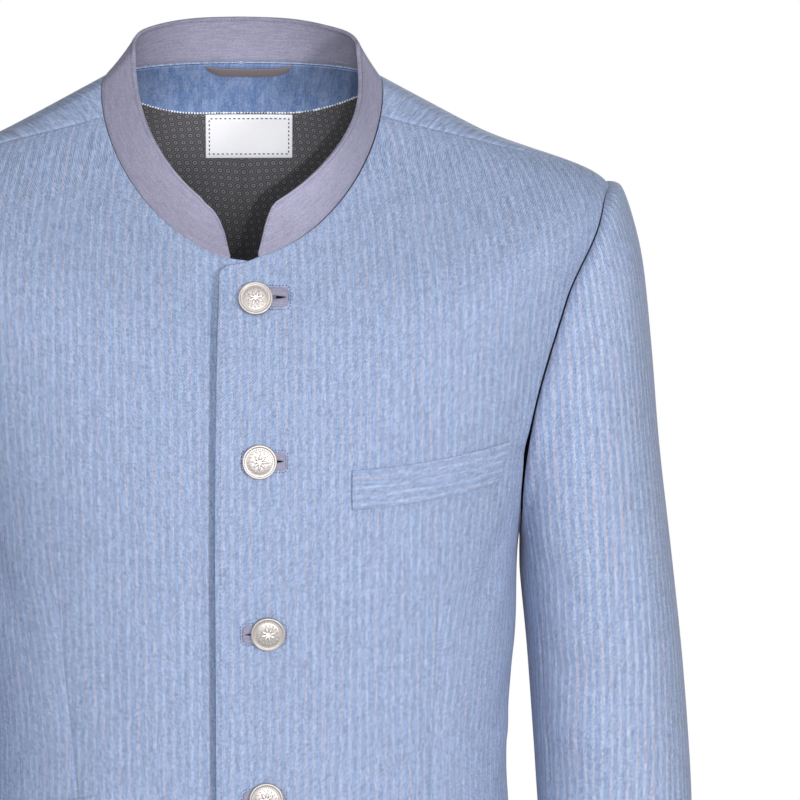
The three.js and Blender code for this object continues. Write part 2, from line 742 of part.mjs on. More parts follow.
// Bound buttonhole: a frame of cloth round the open slit
function buttonholeLips(holeX, z) {
  const loopPoints = (length, height) => {
    const list = [];
    const across = [-0.5, -0.25, 0, 0.25, 0.5];
    for (const t of across) list.push([t * length, -height / 2]);
    list.push([length / 2, 0]);
    for (const t of across.slice().reverse()) list.push([t * length, height / 2]);
    list.push([-length / 2, 0]);
    return list;
  };
  const outside = loopPoints(HOLE_LENGTH, HOLE_HEIGHT);
  const inside = loopPoints(SLIT_LENGTH, SLIT_HEIGHT);
  const count = outside.length;
  const points = [];
  for (const list of [outside, inside]) {
    for (const out of [SEAM_GAP + LIP_WALL, SEAM_GAP]) {
      for (const [dx, dz] of list) {
        const p = frontPoint(holeX + dx, z + dz, out);
        points.push(p.x, p.y, p.z);
      }
    }
  }
  const faces = [];
  const id = (ring, layer, k) => (ring * 2 + layer) * count + (k % count);
  const quad = (a, b, c, d) => faces.push(a, b, c, a, c, d);
  for (let k = 0; k < count; k++) {
    quad(id(0, 0, k), id(0, 0, k + 1), id(1, 0, k + 1), id(1, 0, k));
    quad(id(0, 1, k), id(1, 1, k), id(1, 1, k + 1), id(0, 1, k + 1));
    quad(id(0, 0, k), id(0, 1, k), id(0, 1, k + 1), id(0, 0, k + 1));
    quad(id(1, 0, k), id(1, 0, k + 1), id(1, 1, k + 1), id(1, 1, k));
  }
  return facingOut(points, faces);
}

// Coin button turned about its shank; the shank ends just above the front beneath
function buttonPiece(x, z) {
  const r = BUTTON_DIAMETER / 2;
  const n = frontNormal(x, z);
  const at = frontPoint(x, z, BUTTON_STAND);
  const beneath = onFront(FRONTS.get(-1), -x, z);
  const foot = (beneath.y - at.y) * -n.y - 2 * SEAM_GAP;
  const profile = [
    [0, -foot],
    [SHANK_DIAMETER / 2, -foot],
    [SHANK_DIAMETER / 2, 0.2],
    [r - 1.2, 0.2],
    [r, 0.9],
    [r, BUTTON_THICKNESS - 0.9],
    [r - 0.7, BUTTON_THICKNESS - 0.3],
    [r - 2.2, BUTTON_THICKNESS - 0.4],
    [r * 0.45, BUTTON_THICKNESS],
    [0, BUTTON_THICKNESS],
  ].map(([a, b]) => new THREE.Vector2(a, b));
  const segments = 16;
  const points = [];
  const faces = [];
  const rings = profile.slice(1, -1);
  points.push(0, 0, profile[0].y);
  for (const q of rings) {
    for (let k = 0; k < segments; k++) {
      const t = (k * 2 * Math.PI) / segments;
      points.push(q.x * Math.cos(t), q.x * Math.sin(t), q.y);
    }
  }
  points.push(0, 0, profile[profile.length - 1].y);
  const id = (ring, k) => 1 + ring * segments + (k % segments);
  for (let k = 0; k < segments; k++) {
    faces.push(0, id(0, k + 1), id(0, k));
    for (let i = 0; i < rings.length - 1; i++) {
      faces.push(id(i, k), id(i, k + 1), id(i + 1, k + 1), id(i, k), id(i + 1, k + 1), id(i + 1, k));
    }
    faces.push(1 + rings.length * segments, id(rings.length - 1, k), id(rings.length - 1, k + 1));
  }
  const geometry = facingOut(points, faces);
  const place = new THREE.Quaternion().setFromUnitVectors(new THREE.Vector3(0, 0, 1), n);
  geometry.applyQuaternion(place);
  geometry.translate(at.x, at.y, at.z);
  return geometry;
}

// Slits of the buttonholes cut through the overlapping front
function slitBlock(holeX, z) {
  const geometry = new THREE.BoxGeometry(SLIT_LENGTH, SLIT_HEIGHT, 16);
  const n = frontNormal(holeX, z);
  const right = new THREE.Vector3(1, 0, 0).addScaledVector(n, -n.x).normalize();
  const up = n.clone().cross(right).normalize();
  const turn = new THREE.Matrix4().makeBasis(right, up, n);
  geometry.applyMatrix4(turn);
  const at = frontPoint(holeX, z, 0);
  geometry.translate(at.x, at.y, at.z);
  return welded(geometry);
}

function welded(geometry) {
  const position = geometry.getAttribute('position');
  const index = geometry.getIndex();
  const seen = new Map();
  const points = [];
  const faces = [];
  for (let k = 0; k < index.count; k++) {
    const i = index.getX(k);
    const key = [position.getX(i), position.getY(i), position.getZ(i)].map((c) => c.toFixed(4)).join();
    if (!seen.has(key)) {
      seen.set(key, points.length / 3);
      points.push(position.getX(i), position.getY(i), position.getZ(i));
    }
    faces.push(seen.get(key));
  }
  return facingOut(points, faces);
}

const wasm = await Module();
wasm.setup();

function toSolid(geometry) {
  const mesh = new wasm.Mesh({
    numProp: 3,
    vertProperties: new Float32Array(geometry.getAttribute('position').array),
    triVerts: new Uint32Array(geometry.getIndex().array),
  });
  return new wasm.Manifold(mesh);
}

function fromSolid(solid) {
  const mesh = solid.getMesh();
  const points = [];
  for (let k = 0; k < mesh.numVert; k++) {
    const at = k * mesh.numProp;
    points.push(mesh.vertProperties[at], mesh.vertProperties[at + 1], mesh.vertProperties[at + 2]);
  }
  return facingOut(points, Array.from(mesh.triVerts));
}

function withSlits(geometry) {
  let solid = toSolid(geometry);
  for (const [, z, holeX] of BUTTONS) {
    solid = solid.subtract(toSolid(slitBlock(holeX, z)));
  }
  return fromSolid(solid);
}

const FRONTS = new Map([[1, frontGrid(1)], [-1, frontGrid(-1)]]);
const BACK = backGrid();

const jacket = new THREE.Group();
jacket.name = 'trachten_jacket';

function add(name, geometry, color, roughness, metalness) {
  const material = new THREE.MeshStandardMaterial({ color, roughness, metalness });
  material.name = name;
  const mesh = new THREE.Mesh(geometry, material);
  mesh.name = name;
  jacket.add(mesh);
}

const SIDES = [['left', 1], ['right', -1]];

add('front_left', withSlits(panel(FRONTS.get(1), 1)), COLOURS.blue, 0.9, 0);
add('front_right', panel(FRONTS.get(-1), -1), COLOURS.blue, 0.9, 0);
for (const [word, side] of SIDES) {
  const topSleeve = sleevePanel(side, UNDER_SLEEVE_BACK - ARMHOLE_COLUMNS, UNDER_SLEEVE_FRONT);
  const underSleeve = sleevePanel(side, UNDER_SLEEVE_FRONT, UNDER_SLEEVE_BACK);
  add(`back_${word}`, panel(BACK, side), COLOURS.blue, 0.9, 0);
  add(`top_sleeve_${word}`, topSleeve, COLOURS.blue, 0.9, 0);
  add(`under_sleeve_${word}`, underSleeve, COLOURS.blue, 0.9, 0);
  add(`lining_${word}`, backLining(side), COLOURS.mirrorGrey, 0.6, 0);
  add(`hip_flap_${word}`, laidOn(side, FLAP_CORNERS[word], WELT_WALL), COLOURS.blue, 0.9, 0);
}
add('collar', collarPiece(), COLOURS.mauve, 0.9, 0);
add('neck_facing', neckFacing(), COLOURS.blue, 0.9, 0);
add('hanger_loop', hangerLoop(), COLOURS.tape, 0.5, 0);
add('label', labelPiece(), COLOURS.satin, 0.5, 0);
add('chest_welt', laidOn(1, WELT_CORNERS, WELT_WALL), COLOURS.blue, 0.9, 0);
BUTTONS.forEach(([x, z, holeX], k) => {
  add(`buttonhole_${k + 1}`, buttonholeLips(holeX, z), COLOURS.mauve, 0.9, 0);
  add(`button_${k + 1}`, buttonPiece(x, z), COLOURS.silver, 0.4, 1);
});

export default jacket;
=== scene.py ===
# %% [markdown]
# # A trachten jacket
# This is a man's jacket of the Alpine kind: blue striped cloth, a mauve stand collar, metal buttons in
# bound buttonholes. It stands in its worn form with nobody in it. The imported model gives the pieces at
# their real size. This lesson makes each again as fine cloth in the same place, and gives it its finish.

import math

import bpy
import numpy as np
from mathutils import Matrix, Vector
from mathutils.bvhtree import BVHTree


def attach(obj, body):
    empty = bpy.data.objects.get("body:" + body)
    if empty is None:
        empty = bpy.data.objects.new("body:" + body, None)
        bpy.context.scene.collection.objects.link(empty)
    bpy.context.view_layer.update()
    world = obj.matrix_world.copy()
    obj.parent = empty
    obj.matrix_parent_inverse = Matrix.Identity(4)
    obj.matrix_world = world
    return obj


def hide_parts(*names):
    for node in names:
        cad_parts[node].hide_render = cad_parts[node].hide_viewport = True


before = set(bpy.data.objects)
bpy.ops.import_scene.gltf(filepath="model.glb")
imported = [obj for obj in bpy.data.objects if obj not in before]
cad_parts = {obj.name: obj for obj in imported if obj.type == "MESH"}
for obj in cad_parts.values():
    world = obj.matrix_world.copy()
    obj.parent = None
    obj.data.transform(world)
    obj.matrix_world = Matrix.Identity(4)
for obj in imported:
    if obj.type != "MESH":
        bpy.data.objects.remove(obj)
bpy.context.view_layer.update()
bpy.ops.object.select_all(action="DESELECT")
print("solid pieces:", len(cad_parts))

# %% [markdown]
# ## Camera and light
# The camera comes first, because every later look is judged through it. The photograph was taken from the
# front, a little above the chest, with a long lens, which keeps the shoulders from looking too wide. Soft
# boxes stand in for the photographer's: a small strong one on the wearer's left leaves a shadow beside the
# overlapping edge, a large one in front fills it, and weak ones stand at the other side, behind and above,
# where the first button mirrors it. A narrow beam lights the label and lining inside the neck.

# %% Camera
MM = 0.001
AIM = Vector((96, -125, -184.5)) * MM
CAMERA_DISTANCE = 3.0
CAMERA_RISE = math.radians(8)
CAMERA_TURN = math.radians(2.3)
LENS = 217.7
FILM_WIDTH = 36

look = Vector((
    math.sin(CAMERA_TURN) * math.cos(CAMERA_RISE),
    math.cos(CAMERA_TURN) * math.cos(CAMERA_RISE),
    -math.sin(CAMERA_RISE),
))
bpy.ops.object.camera_add(location=AIM - look * CAMERA_DISTANCE)
camera = bpy.context.object
camera.rotation_euler = look.to_track_quat("-Z", "Y").to_euler()
camera.data.lens = LENS
camera.data.sensor_width = FILM_WIDTH
camera.data.clip_end = 40
bpy.context.scene.camera = camera
print("camera at", [round(c, 3) for c in camera.location])


# %% Lights, sky and floor
def turned_towards(place, target):
    return (Vector(target) - Vector(place)).to_track_quat("-Z", "Y").to_euler()


def soft_light(name, place, target, size, power):
    bpy.ops.object.light_add(type="AREA", location=place)
    light = bpy.context.object
    light.name = name
    light.rotation_euler = turned_towards(place, target)
    light.data.shape = "RECTANGLE"
    light.data.size = size[0]
    light.data.size_y = size[1]
    light.data.energy = power


CHEST = (0.05, -0.1, -0.3)
# name, place, what it points at, width and height in metres, power in watts
SOFT_BOXES = [
    ("key_box", (1.6, -2.65, 0.15), CHEST, (0.4, 0.8), 46),
    ("front_box", (-0.1, -3.3, 0.1), CHEST, (1.2, 1.3), 47),
    ("left_box", (-2.0, -2.1, 0.9), CHEST, (1.0, 1.2), 14),
    ("back_box", (0.6, 2.6, 0.6), CHEST, (1.6, 1.6), 40),
    ("high_box", (0.25, -2.2, 2.05), (0, -0.12, -0.12), (1.6, 1.3), 15),
]
for box in SOFT_BOXES:
    soft_light(*box)

NECK_INSIDE = (0, 0.04, -0.030)
BEAM_PLACE = (0.15, -3.1, 0.15)
bpy.ops.object.light_add(type="SPOT", location=BEAM_PLACE)
neck_spot = bpy.context.object
neck_spot.name = "neck_spot"
neck_spot.rotation_euler = turned_towards(BEAM_PLACE, NECK_INSIDE)
neck_spot.data.spot_size = math.radians(3.0)
neck_spot.data.spot_blend = 1.0
neck_spot.data.shadow_soft_size = 0.03
neck_spot.data.energy = 218

# how bright the room is: to the camera, on cloth, and mirrored in metal
SEEN_ROOM = ((1, 1, 1, 1), 1.0)
ROOM_ON_CLOTH = ((0.93, 0.96, 1, 1), 0.14)
ROOM_IN_METAL = ((0.8, 0.8, 0.8, 1), 1.15)

world = bpy.data.worlds.new("white_room")
bpy.context.scene.world = world
world.use_nodes = True
sky = world.node_tree
sky.nodes.clear()


def room_light(colour, strength):
    background = sky.nodes.new("ShaderNodeBackground")
    background.inputs["Color"].default_value = colour
    background.inputs["Strength"].default_value = strength
    return background.outputs[0]


def chosen_by(share, usual, special):
    chosen = sky.nodes.new("ShaderNodeMixShader")
    for socket, source in zip(chosen.inputs, (share, usual, special)):
        sky.links.new(source, socket)
    return chosen.outputs[0]


ray = sky.nodes.new("ShaderNodeLightPath")
on_things = chosen_by(ray.outputs["Is Glossy Ray"], room_light(*ROOM_ON_CLOTH), room_light(*ROOM_IN_METAL))
whole_sky = chosen_by(ray.outputs["Is Camera Ray"], on_things, room_light(*SEEN_ROOM))
sky_out = sky.nodes.new("ShaderNodeOutputWorld")
sky.links.new(whole_sky, sky_out.inputs[0])

bpy.context.scene.view_settings.view_transform = "Standard"

FLOOR_DROP = 1.45
FLOOR_SIZE = 3.2
bpy.ops.mesh.primitive_plane_add(size=FLOOR_SIZE, location=(0, 0, -FLOOR_DROP))
floor = bpy.context.object
floor.name = "floor"


# %% [markdown]
# ## A small language for materials
# A woven cloth is mostly arithmetic: stripes are the remainder of a division, threads are stretched noise.
# Written node by node that is unreadable, so one class wraps a socket and lets ordinary signs of arithmetic
# add the nodes. Another holds one material and makes any other node from its type, settings and inputs.

# %% Socket arithmetic
class Value:
    def __init__(self, shader, socket):
        self.shader = shader
        self.socket = socket

    def __add__(self, other):
        return self.shader.math("ADD", self, other)

    def __sub__(self, other):
        return self.shader.math("SUBTRACT", self, other)

    def __rsub__(self, other):
        return self.shader.math("SUBTRACT", other, self)

    def __mul__(self, other):
        return self.shader.math("MULTIPLY", self, other)

    __radd__ = __add__
    __rmul__ = __mul__

    def __truediv__(self, other):
        return self.shader.math("DIVIDE", self, other)

    def floor(self):
        return self.shader.math("FLOOR", self)

    def size(self):
        return self.shader.math("ABSOLUTE", self)

    def wave(self):
        return self.shader.math("SINE", self)

    def root(self):
        return self.shader.math("SQRT", self)

    def step(self, low, high, start=0.0, end=1.0):
        return self.shader.node(
            "ShaderNodeMapRange",
            {"interpolation_type": "SMOOTHSTEP"},
            {"Value": self, "From Min": low, "From Max": high, "To Min": start, "To Max": end},
        )


class Shader:
    def __init__(self, name, **surface):
        self.material = bpy.data.materials.new(name)
        self.material.use_nodes = True
        self.tree = self.material.node_tree
        self.bsdf = self.tree.nodes["Principled BSDF"]
        for key, setting in surface.items():
            self.bsdf.inputs[key.replace("_", " ")].default_value = setting

    def feed(self, socket, value):
        if isinstance(value, Value):
            self.tree.links.new(value.socket, socket)
        elif isinstance(value, tuple) and socket.type == "RGBA":
            socket.default_value = (*value, 1)
        else:
            socket.default_value = value

    def node(self, kind, settings=None, inputs=None, out=0):
        made = self.tree.nodes.new(kind)
        for key, setting in (settings or {}).items():
            setattr(made, key, setting)
        for key, value in (inputs or {}).items():
            self.feed(made.inputs[key], value)
        return Value(self, made.outputs[out])

    def math(self, operation, *values):
        return self.node("ShaderNodeMath", {"operation": operation}, dict(enumerate(values)))

    def cloth_place(self):
        """Across and along the grain, in millimetres, from the piece's UV map"""
        uv = self.node("ShaderNodeTexCoord", out="UV")
        parts = self.node("ShaderNodeSeparateXYZ", None, {0: uv})
        along = Value(self, parts.socket.node.outputs[1])
        return parts * 1000, along * 1000

    def vector(self, x, y, z=0.0):
        return self.node("ShaderNodeCombineXYZ", None, {0: x, 1: y, 2: z})

    def noise(self, x, y, z=0.0, detail=2.0, rough=0.5):
        settings = {"noise_dimensions": "3D"}
        inputs = {"Vector": self.vector(x, y, z), "Scale": 1.0, "Detail": detail, "Roughness": rough}
        return self.node("ShaderNodeTexNoise", settings, inputs)

    def solid_noise(self, scale, detail):
        """Noise that runs through the solid, for thread and metal, which have no grain map"""
        place = self.node("ShaderNodeTexCoord", out="Object")
        return self.node("ShaderNodeTexNoise", None, {"Vector": place, "Scale": scale, "Detail": detail})

    def cells(self, x, y, z=0.0):
        """A value from nought to one for each whole step of x and y, like threads of mixed colours"""
        place = self.vector(x.floor(), y.floor(), z)
        return self.node("ShaderNodeTexWhiteNoise", {"noise_dimensions": "3D"}, {"Vector": place})

    def mix(self, share, first, second):
        made = self.tree.nodes.new("ShaderNodeMix")
        made.data_type = "RGBA"
        self.feed(made.inputs[0], share)
        self.feed(made.inputs[6], first)
        self.feed(made.inputs[7], second)
        return Value(self, made.outputs[2])

    def scaled(self, colour, share):
        return self.node("ShaderNodeVectorMath", {"operation": "SCALE"}, {0: colour, "Scale": share})

    def surface(self, colour, height=None, rise=0.0001, strength=0.5, roughness=None):
        self.feed(self.bsdf.inputs["Base Color"], colour)
        if roughness is not None:
            self.feed(self.bsdf.inputs["Roughness"], roughness)
        if height is not None:
            inputs = {"Strength": strength, "Distance": rise, "Height": height}
            bump = self.node("ShaderNodeBump", None, inputs)
            self.feed(self.bsdf.inputs["Normal"], bump)
        return self.material


def srgb(red, green, blue):
    """A colour as it is read off a screen, turned into the linear one that a shader takes"""
    parts = (red / 255, green / 255, blue / 255)
    return tuple(c / 12.92 if c <= 0.04045 else ((c + 0.055) / 1.055) ** 2.4 for c in parts)


print("white is", srgb(255, 255, 255))

# %% [markdown]
# ## The blue striped cloth
# It is a linen and cotton twill: a blue ground, a slubbed pale stripe every 5.7 mm, fine diagonal ribs and
# threads of mixed colour and uneven thickness. Every panel carries a UV map in metres that follows the
# grain, so the stripes run with the cut and bend where a dart takes cloth away.

# %% Striped twill
STRIPE_PITCH = 5.7
RIB_PITCH = 1.85
TURN = 2 * math.pi
WOVEN = {"Roughness": 0.88, "Sheen_Weight": 0.1, "Sheen_Roughness": 0.5}


def twill_light(shader, across, along):
    """Light and dark of the threads: fine diagonal ribs, a melange of short dashes, slubs both ways"""
    slant = across - along
    ribs = (slant * (TURN / RIB_PITCH)).wave()
    dashes = shader.cells(slant / 1.05, (across + along) / 1.9) - 0.5
    specks = shader.cells(across / 0.7, along / 0.7, 4.0) - 0.5
    upright = shader.cells(across / 0.75, along / 5.5, 9.0) - 0.5
    warp = shader.noise(across * 0.75, along * 0.05, 8.0, 2.0, 0.55) - 0.5
    weft = shader.noise(across * 0.05, along * 0.75, 2.0, 2.0, 0.55) - 0.5
    light = 1.0 + 0.11 * ribs + 0.3 * dashes + 0.22 * specks + 0.22 * upright + 0.26 * warp + 0.14 * weft
    return light, ribs * 0.5 + dashes * 0.8 + warp * 1.2


def striped_cloth(name, gain):
    """Stripes that wander and swell; gain is how much they stand out from the ground"""
    shader = Shader(name, Specular_IOR_Level=0.2, **WOVEN)
    across, along = shader.cloth_place()
    wander = shader.noise(across * 0.11, along * 0.008) - 0.5
    ragged = shader.noise(across * 0.5, along * 0.14, 3.1, 1.0) - 0.5
    phase = (across + 2.4 * wander + 0.9 * ragged) / STRIPE_PITCH
    count = phase.floor()
    off = (phase - count - 0.5).size() * STRIPE_PITCH
    swell = shader.noise(count * 7.31, along * 0.035, 5.0)
    width = 0.7 + 0.9 * swell
    band = (width - off).step(-0.7, 0.7)
    broken = shader.cells(across / 0.8, along / 3.1, 2.0)
    strength = band * (0.3 + 0.7 * swell + 0.5 * broken)
    tone = shader.noise(count * 3.7, along * 0.02, 1.7)
    thread = shader.mix(tone.step(0.45, 0.62), PALE_STRIPE, WARM_STRIPE)
    colour = shader.mix(strength * gain, BODY_GROUND, thread)
    light, height = twill_light(shader, across, along)
    return shader.surface(shader.scaled(colour, light), height + strength, 0.00015, 0.4)


BODY_GROUND = srgb(142, 159, 192)
PALE_STRIPE = srgb(174, 183, 204)
WARM_STRIPE = srgb(178, 176, 195)
BODY_CLOTH = striped_cloth("striped_blue_twill", 0.46)
SLEEVE_CLOTH = striped_cloth("striped_blue_sleeve_twill", 0.75)


def mottled_cloth(name, deep, pale):
    """The facing's cloth, from a quieter place of the twill: no stripe, only uneven upright streaks"""
    shader = Shader(name, **WOVEN)
    across, along = shader.cloth_place()
    broad = shader.noise(across * 0.16, along * 0.05, 1.0, 3.0, 0.6)
    fine = shader.noise(across * 0.6, along * 0.12, 5.0, 2.0, 0.6) - 0.5
    colour = shader.mix((broad + 0.3 * fine).step(0.34, 0.66), deep, pale)
    light, height = twill_light(shader, across, along)
    return shader.surface(shader.scaled(colour, light), height, 0.00012, 0.4)


FACING_CLOTH = mottled_cloth("blue_neck_facing", srgb(94, 120, 165), srgb(122, 142, 182))
print("cloths:", BODY_CLOTH.name, SLEEVE_CLOTH.name, FACING_CLOTH.name)

# %% [markdown]
# ## The other finishes
# The collar and the buttonholes are a mauve-grey cloth with slubs along its length. The lining is a dark
# satin with a small repeat of rings and dots, slanted away from its middle seam. The label is bare white
# satin, the hanger a grey-brown tape, and the buttons are old silver, darker in the hollows with tarnish
# and painted shade.

# %% Mauve collar cloth
def slubbed_cloth(name, dark, light):
    shader = Shader(name, Specular_IOR_Level=0.25, **WOVEN)
    along, across = shader.cloth_place()
    slub = shader.noise(along * 0.07, across * 1.1, 0.0, 3.0, 0.6)
    threads = shader.cells(along / 1.3, across / 0.62) - 0.5
    specks = shader.cells(along / 0.66, across / 0.66, 3.0) - 0.5
    soft = shader.noise(along * 0.16, across * 0.16, 6.0, 2.0) - 0.5
    weave = (along * (TURN / 1.3)).wave() * (across * (TURN / 1.3)).wave()
    colour = shader.mix(slub.step(0.3, 0.7), dark, light)
    tint = 1.0 + 0.05 * weave + 0.16 * threads + 0.18 * specks + 0.12 * soft
    height = slub * 0.6 + threads * 0.5 + weave * 0.3
    return shader.surface(shader.scaled(colour, tint), height, 0.00012, 0.45)


COLLAR_CLOTH = slubbed_cloth("mauve_slubbed_cloth", srgb(136, 135, 157), srgb(152, 150, 171))


# %% Ring lining
RING_PITCH = 5.15
RING_SLANT = math.tan(math.radians(8))


def ring_lining(name):
    """Rings in a square repeat with dots between them, from the distance to the nearest middle"""
    shader = Shader(name, Roughness=0.55, Sheen_Weight=0.05)
    across, along = shader.cloth_place()
    slanted_up = along - across.size() * RING_SLANT
    slanted_over = across + along * RING_SLANT

    def from_centre(shift):
        x = slanted_over / RING_PITCH + shift
        y = slanted_up / RING_PITCH + shift
        dx = (x - x.floor() - 0.5) * RING_PITCH
        dy = (y - y.floor() - 0.5) * RING_PITCH
        return (dx * dx + dy * dy).root()

    ring = from_centre(0.0)
    dot = from_centre(0.5)
    halo = 1.0 - (ring - 1.75).size().step(0.15, 0.6)
    circle = 1.0 - (ring - 1.05).size().step(0.15, 0.45)
    eye = 1.0 - ring.step(0.3, 0.65)
    speck = 1.0 - dot.step(0.35, 0.7)
    satin = shader.noise(across * 0.3, along * 3.0, 0.0, 2.0) - 0.5
    grain = shader.cells(across / 0.7, along / 0.7) - 0.5
    colour = shader.mix(halo * 0.8, srgb(87, 85, 89), srgb(38, 37, 41))
    colour = shader.mix(circle, colour, srgb(124, 122, 127))
    colour = shader.mix(eye * 0.9, colour, srgb(40, 39, 43))
    colour = shader.mix(speck * 0.75, colour, srgb(43, 42, 46))
    tint = 1.0 + 0.2 * satin + 0.25 * grain
    return shader.surface(shader.scaled(colour, tint), circle, 0.00005, 0.3)


LINING_SATIN = ring_lining("ring_lining_satin")


# %% Label, tape, thread and silver
def plain_weave(name, colour, rough, sheen, pitch=0.5, depth=0.06):
    shader = Shader(name, Roughness=rough, Sheen_Weight=sheen)
    across, along = shader.cloth_place()
    weave = (across * (TURN / pitch)).wave() * (along * (TURN / pitch)).wave()
    soft = shader.noise(across * 0.2, along * 2.0, 0.0, 2.0) - 0.5
    tint = 1.0 + depth * weave + 0.12 * soft
    return shader.surface(shader.scaled(shader.vector(*colour), tint), weave, 0.00004, 0.4)


def thread_finish(name, colour):
    shader = Shader(name, Roughness=0.7, Sheen_Weight=0.15)
    fibre = shader.solid_noise(2600.0, 2.0)
    return shader.surface(shader.scaled(shader.vector(*colour), 0.8 + 0.4 * fibre), fibre, 0.00005, 0.4)


LABEL_SATIN = plain_weave("white_label_satin", srgb(240, 240, 244), 0.5, 0.1)
LOOP_TAPE = plain_weave("grey_brown_tape", srgb(112, 103, 108), 0.42, 0.1, 0.8, 0.12)
BLUE_THREAD = thread_finish("blue_thread", srgb(84, 100, 140))
MAUVE_THREAD = thread_finish("mauve_thread", srgb(104, 99, 122))
DARK_THREAD = thread_finish("dark_thread", srgb(48, 56, 96))
SILVER_THREAD = thread_finish("silver_thread", srgb(236, 238, 244))


def old_silver(name):
    shader = Shader(name, Metallic=0.92, Roughness=0.34)
    # The attribute read here is high where the relief stands up: raised parts are polished bright, and
    # hollows darken with real tarnish and with painted shade.
    wear_and_shade = shader.node("ShaderNodeAttribute", {"attribute_name": "wear_and_shade"}, out="Fac")
    spots = shader.solid_noise(900.0, 4.0)
    share = (wear_and_shade + 0.5 * (spots - 0.5)).step(0.0, 0.6)
    colour = shader.mix(share, srgb(176, 170, 167), srgb(255, 253, 250))
    return shader.surface(colour, spots, 0.00006, 0.35, 0.42 - 0.14 * share)


OLD_SILVER = old_silver("old_silver")
floor.data.materials.append(plain_weave("pale_floor", (0.86, 0.86, 0.87), 0.9, 0.0))
print("materials:", len(bpy.data.materials))

# %% [markdown]
# ## The jacket's body form
# The body is a stack of rounded rings from hem to neck seam. A short table holds each ring's heights,
# half width, depths and squareness, and smooth curves join them, as a tailor joins the measures on a
# pattern. The same table made the solids, so the fine cloth lies on them.

# %% Rings of the body
# row, height at front, side and back, half width, depth front and back, squareness, rise front and back
BODY_RINGS = np.array([
    [0, -745, -738, -733, 205, 124, 132, 2.3, 2.3, 2.0, 2.0],
    [1, -640, -640, -640, 196, 123, 134, 2.3, 2.3, 2.0, 2.0],
    [2, -535, -535, -535, 178.2, 118, 115, 2.3, 2.3, 2.0, 2.0],
    [3, -432, -432, -432, 170.3, 114, 96, 2.3, 2.3, 2.0, 2.0],
    [4, -350, -350, -350, 175.6, 122, 106, 2.35, 2.35, 2.0, 2.0],
    [5, -286, -280, -270, 178.8, 130, 117, 2.4, 2.4, 2.0, 2.0],
    [6, -230, -200, -195, 199, 133, 121, 2.4, 2.4, 2.0, 2.0],
    [7, -180, -119, -128, 224, 129, 115, 2.25, 2.3, 2.0, 2.0],
    [8, -143, -62, -66, 235, 118, 100, 2.1, 2.2, 1.8, 1.8],
    [9, -119, -30.5, -15.5, 157, 107, 80, 1.9, 2.3, 1.4, 1.2],
    [10, -99, 0, 13.5, 90.5, 97, 57, 1.7, 2.45, 1.1, 0.5],
])
NECK_ROW = 10
ARMHOLE_TOP = 8
ARMHOLE_LOW = 5
ARMHOLE_MIDDLE = 6.5
ARMHOLE_HALF = 1.5
# in degrees: how far the armhole cuts into the front and the back, and the shoulder seam lies in front
ARMHOLE_FRONT = 26.5
ARMHOLE_BACK = 29
SHOULDER_SEAM = 11
QUARTER = math.pi / 2


def smooth(t):
    c = np.clip(t, 0, 1)
    return c * c * (3 - 2 * c)


def bell(distance, width):
    return np.exp(-((distance / width) ** 2))


def hermite(p0, p1, m0, m1, t):
    a = (1 + 2 * t) * (1 - t) ** 2
    b = t * (1 - t) ** 2
    c = t * t * (3 - 2 * t)
    d = t * t * (t - 1)
    return a * p0 + b * m0 + c * p1 + d * m1


def along_table(values, row):
    """Smooth value between the rows of a table; values has one entry, or one point, for each row"""
    slopes = np.gradient(values, axis=0)
    i = np.clip(np.floor(row).astype(int), 0, len(values) - 2)
    t = row - i
    if values.ndim > 1 and np.ndim(t) > 0:
        t = t[:, None]
    return hermite(values[i], values[i + 1], slopes[i], slopes[i + 1], t)


def body(row, angle):
    """Points in millimetres on the body's outside; angle 0 is the centre front"""
    row, angle = np.broadcast_arrays(np.asarray(row, float), np.asarray(angle, float))
    ring = [along_table(BODY_RINGS[:, k], row) for k in range(11)]
    front = np.cos(angle) >= 0
    c = np.abs(np.cos(angle))
    s = np.abs(np.sin(angle))
    square = np.where(front, ring[7], ring[8])
    x = ring[4] * np.sign(np.sin(angle)) * s ** (2 / square)
    y = np.where(front, -ring[5], ring[6]) * c ** (2 / square)
    reach = np.where(front, ring[1], ring[3]) - ring[2]
    z = ring[2] + reach * c ** np.where(front, ring[9], ring[10])
    return np.stack([x, y, z], -1)


def unit(vectors):
    return vectors / np.maximum(np.linalg.norm(vectors, axis=-1, keepdims=True), 1e-9)


def body_normal(row, angle):
    step = 0.012
    row = np.asarray(row, float)
    round_it = body(row, angle + step) - body(row, angle - step)
    upward = body(np.minimum(NECK_ROW, row + step), angle) - body(np.maximum(0, row - step), angle)
    return unit(np.cross(round_it, upward))


def angle_at_x(row, x):
    half = along_table(BODY_RINGS[:, 4], row)
    square = along_table(BODY_RINGS[:, 7], row)
    return np.sign(x) * np.arcsin(np.clip(np.abs(x) / half, 0, 1) ** (square / 2))


def armhole_angle(turn):
    """Angle of the armhole on the body for a turn round it: 0 shoulder, a quarter turn in front"""
    dip = np.abs(np.sin(turn)) ** (0.75 - 0.25 * np.cos(turn))
    degrees = np.where(np.sin(turn) >= 0, -ARMHOLE_FRONT * dip, ARMHOLE_BACK * dip)
    return QUARTER + np.radians(degrees)


def side_angle(row, way):
    """Angle of a panel's side edge: side seam, armhole, shoulder seam; way is 1 in front, -1 behind"""
    turn = np.arccos(np.clip((row - ARMHOLE_MIDDLE) / ARMHOLE_HALF, -1, 1))
    shoulder = QUARTER - math.radians(SHOULDER_SEAM) * smooth((row - ARMHOLE_TOP) / 2)
    between = armhole_angle(way * turn)
    return np.where(row <= ARMHOLE_LOW, QUARTER, np.where(row >= ARMHOLE_TOP, shoulder, between))


print("chest half width", round(float(body(7, QUARTER)[0]), 1), "mm")
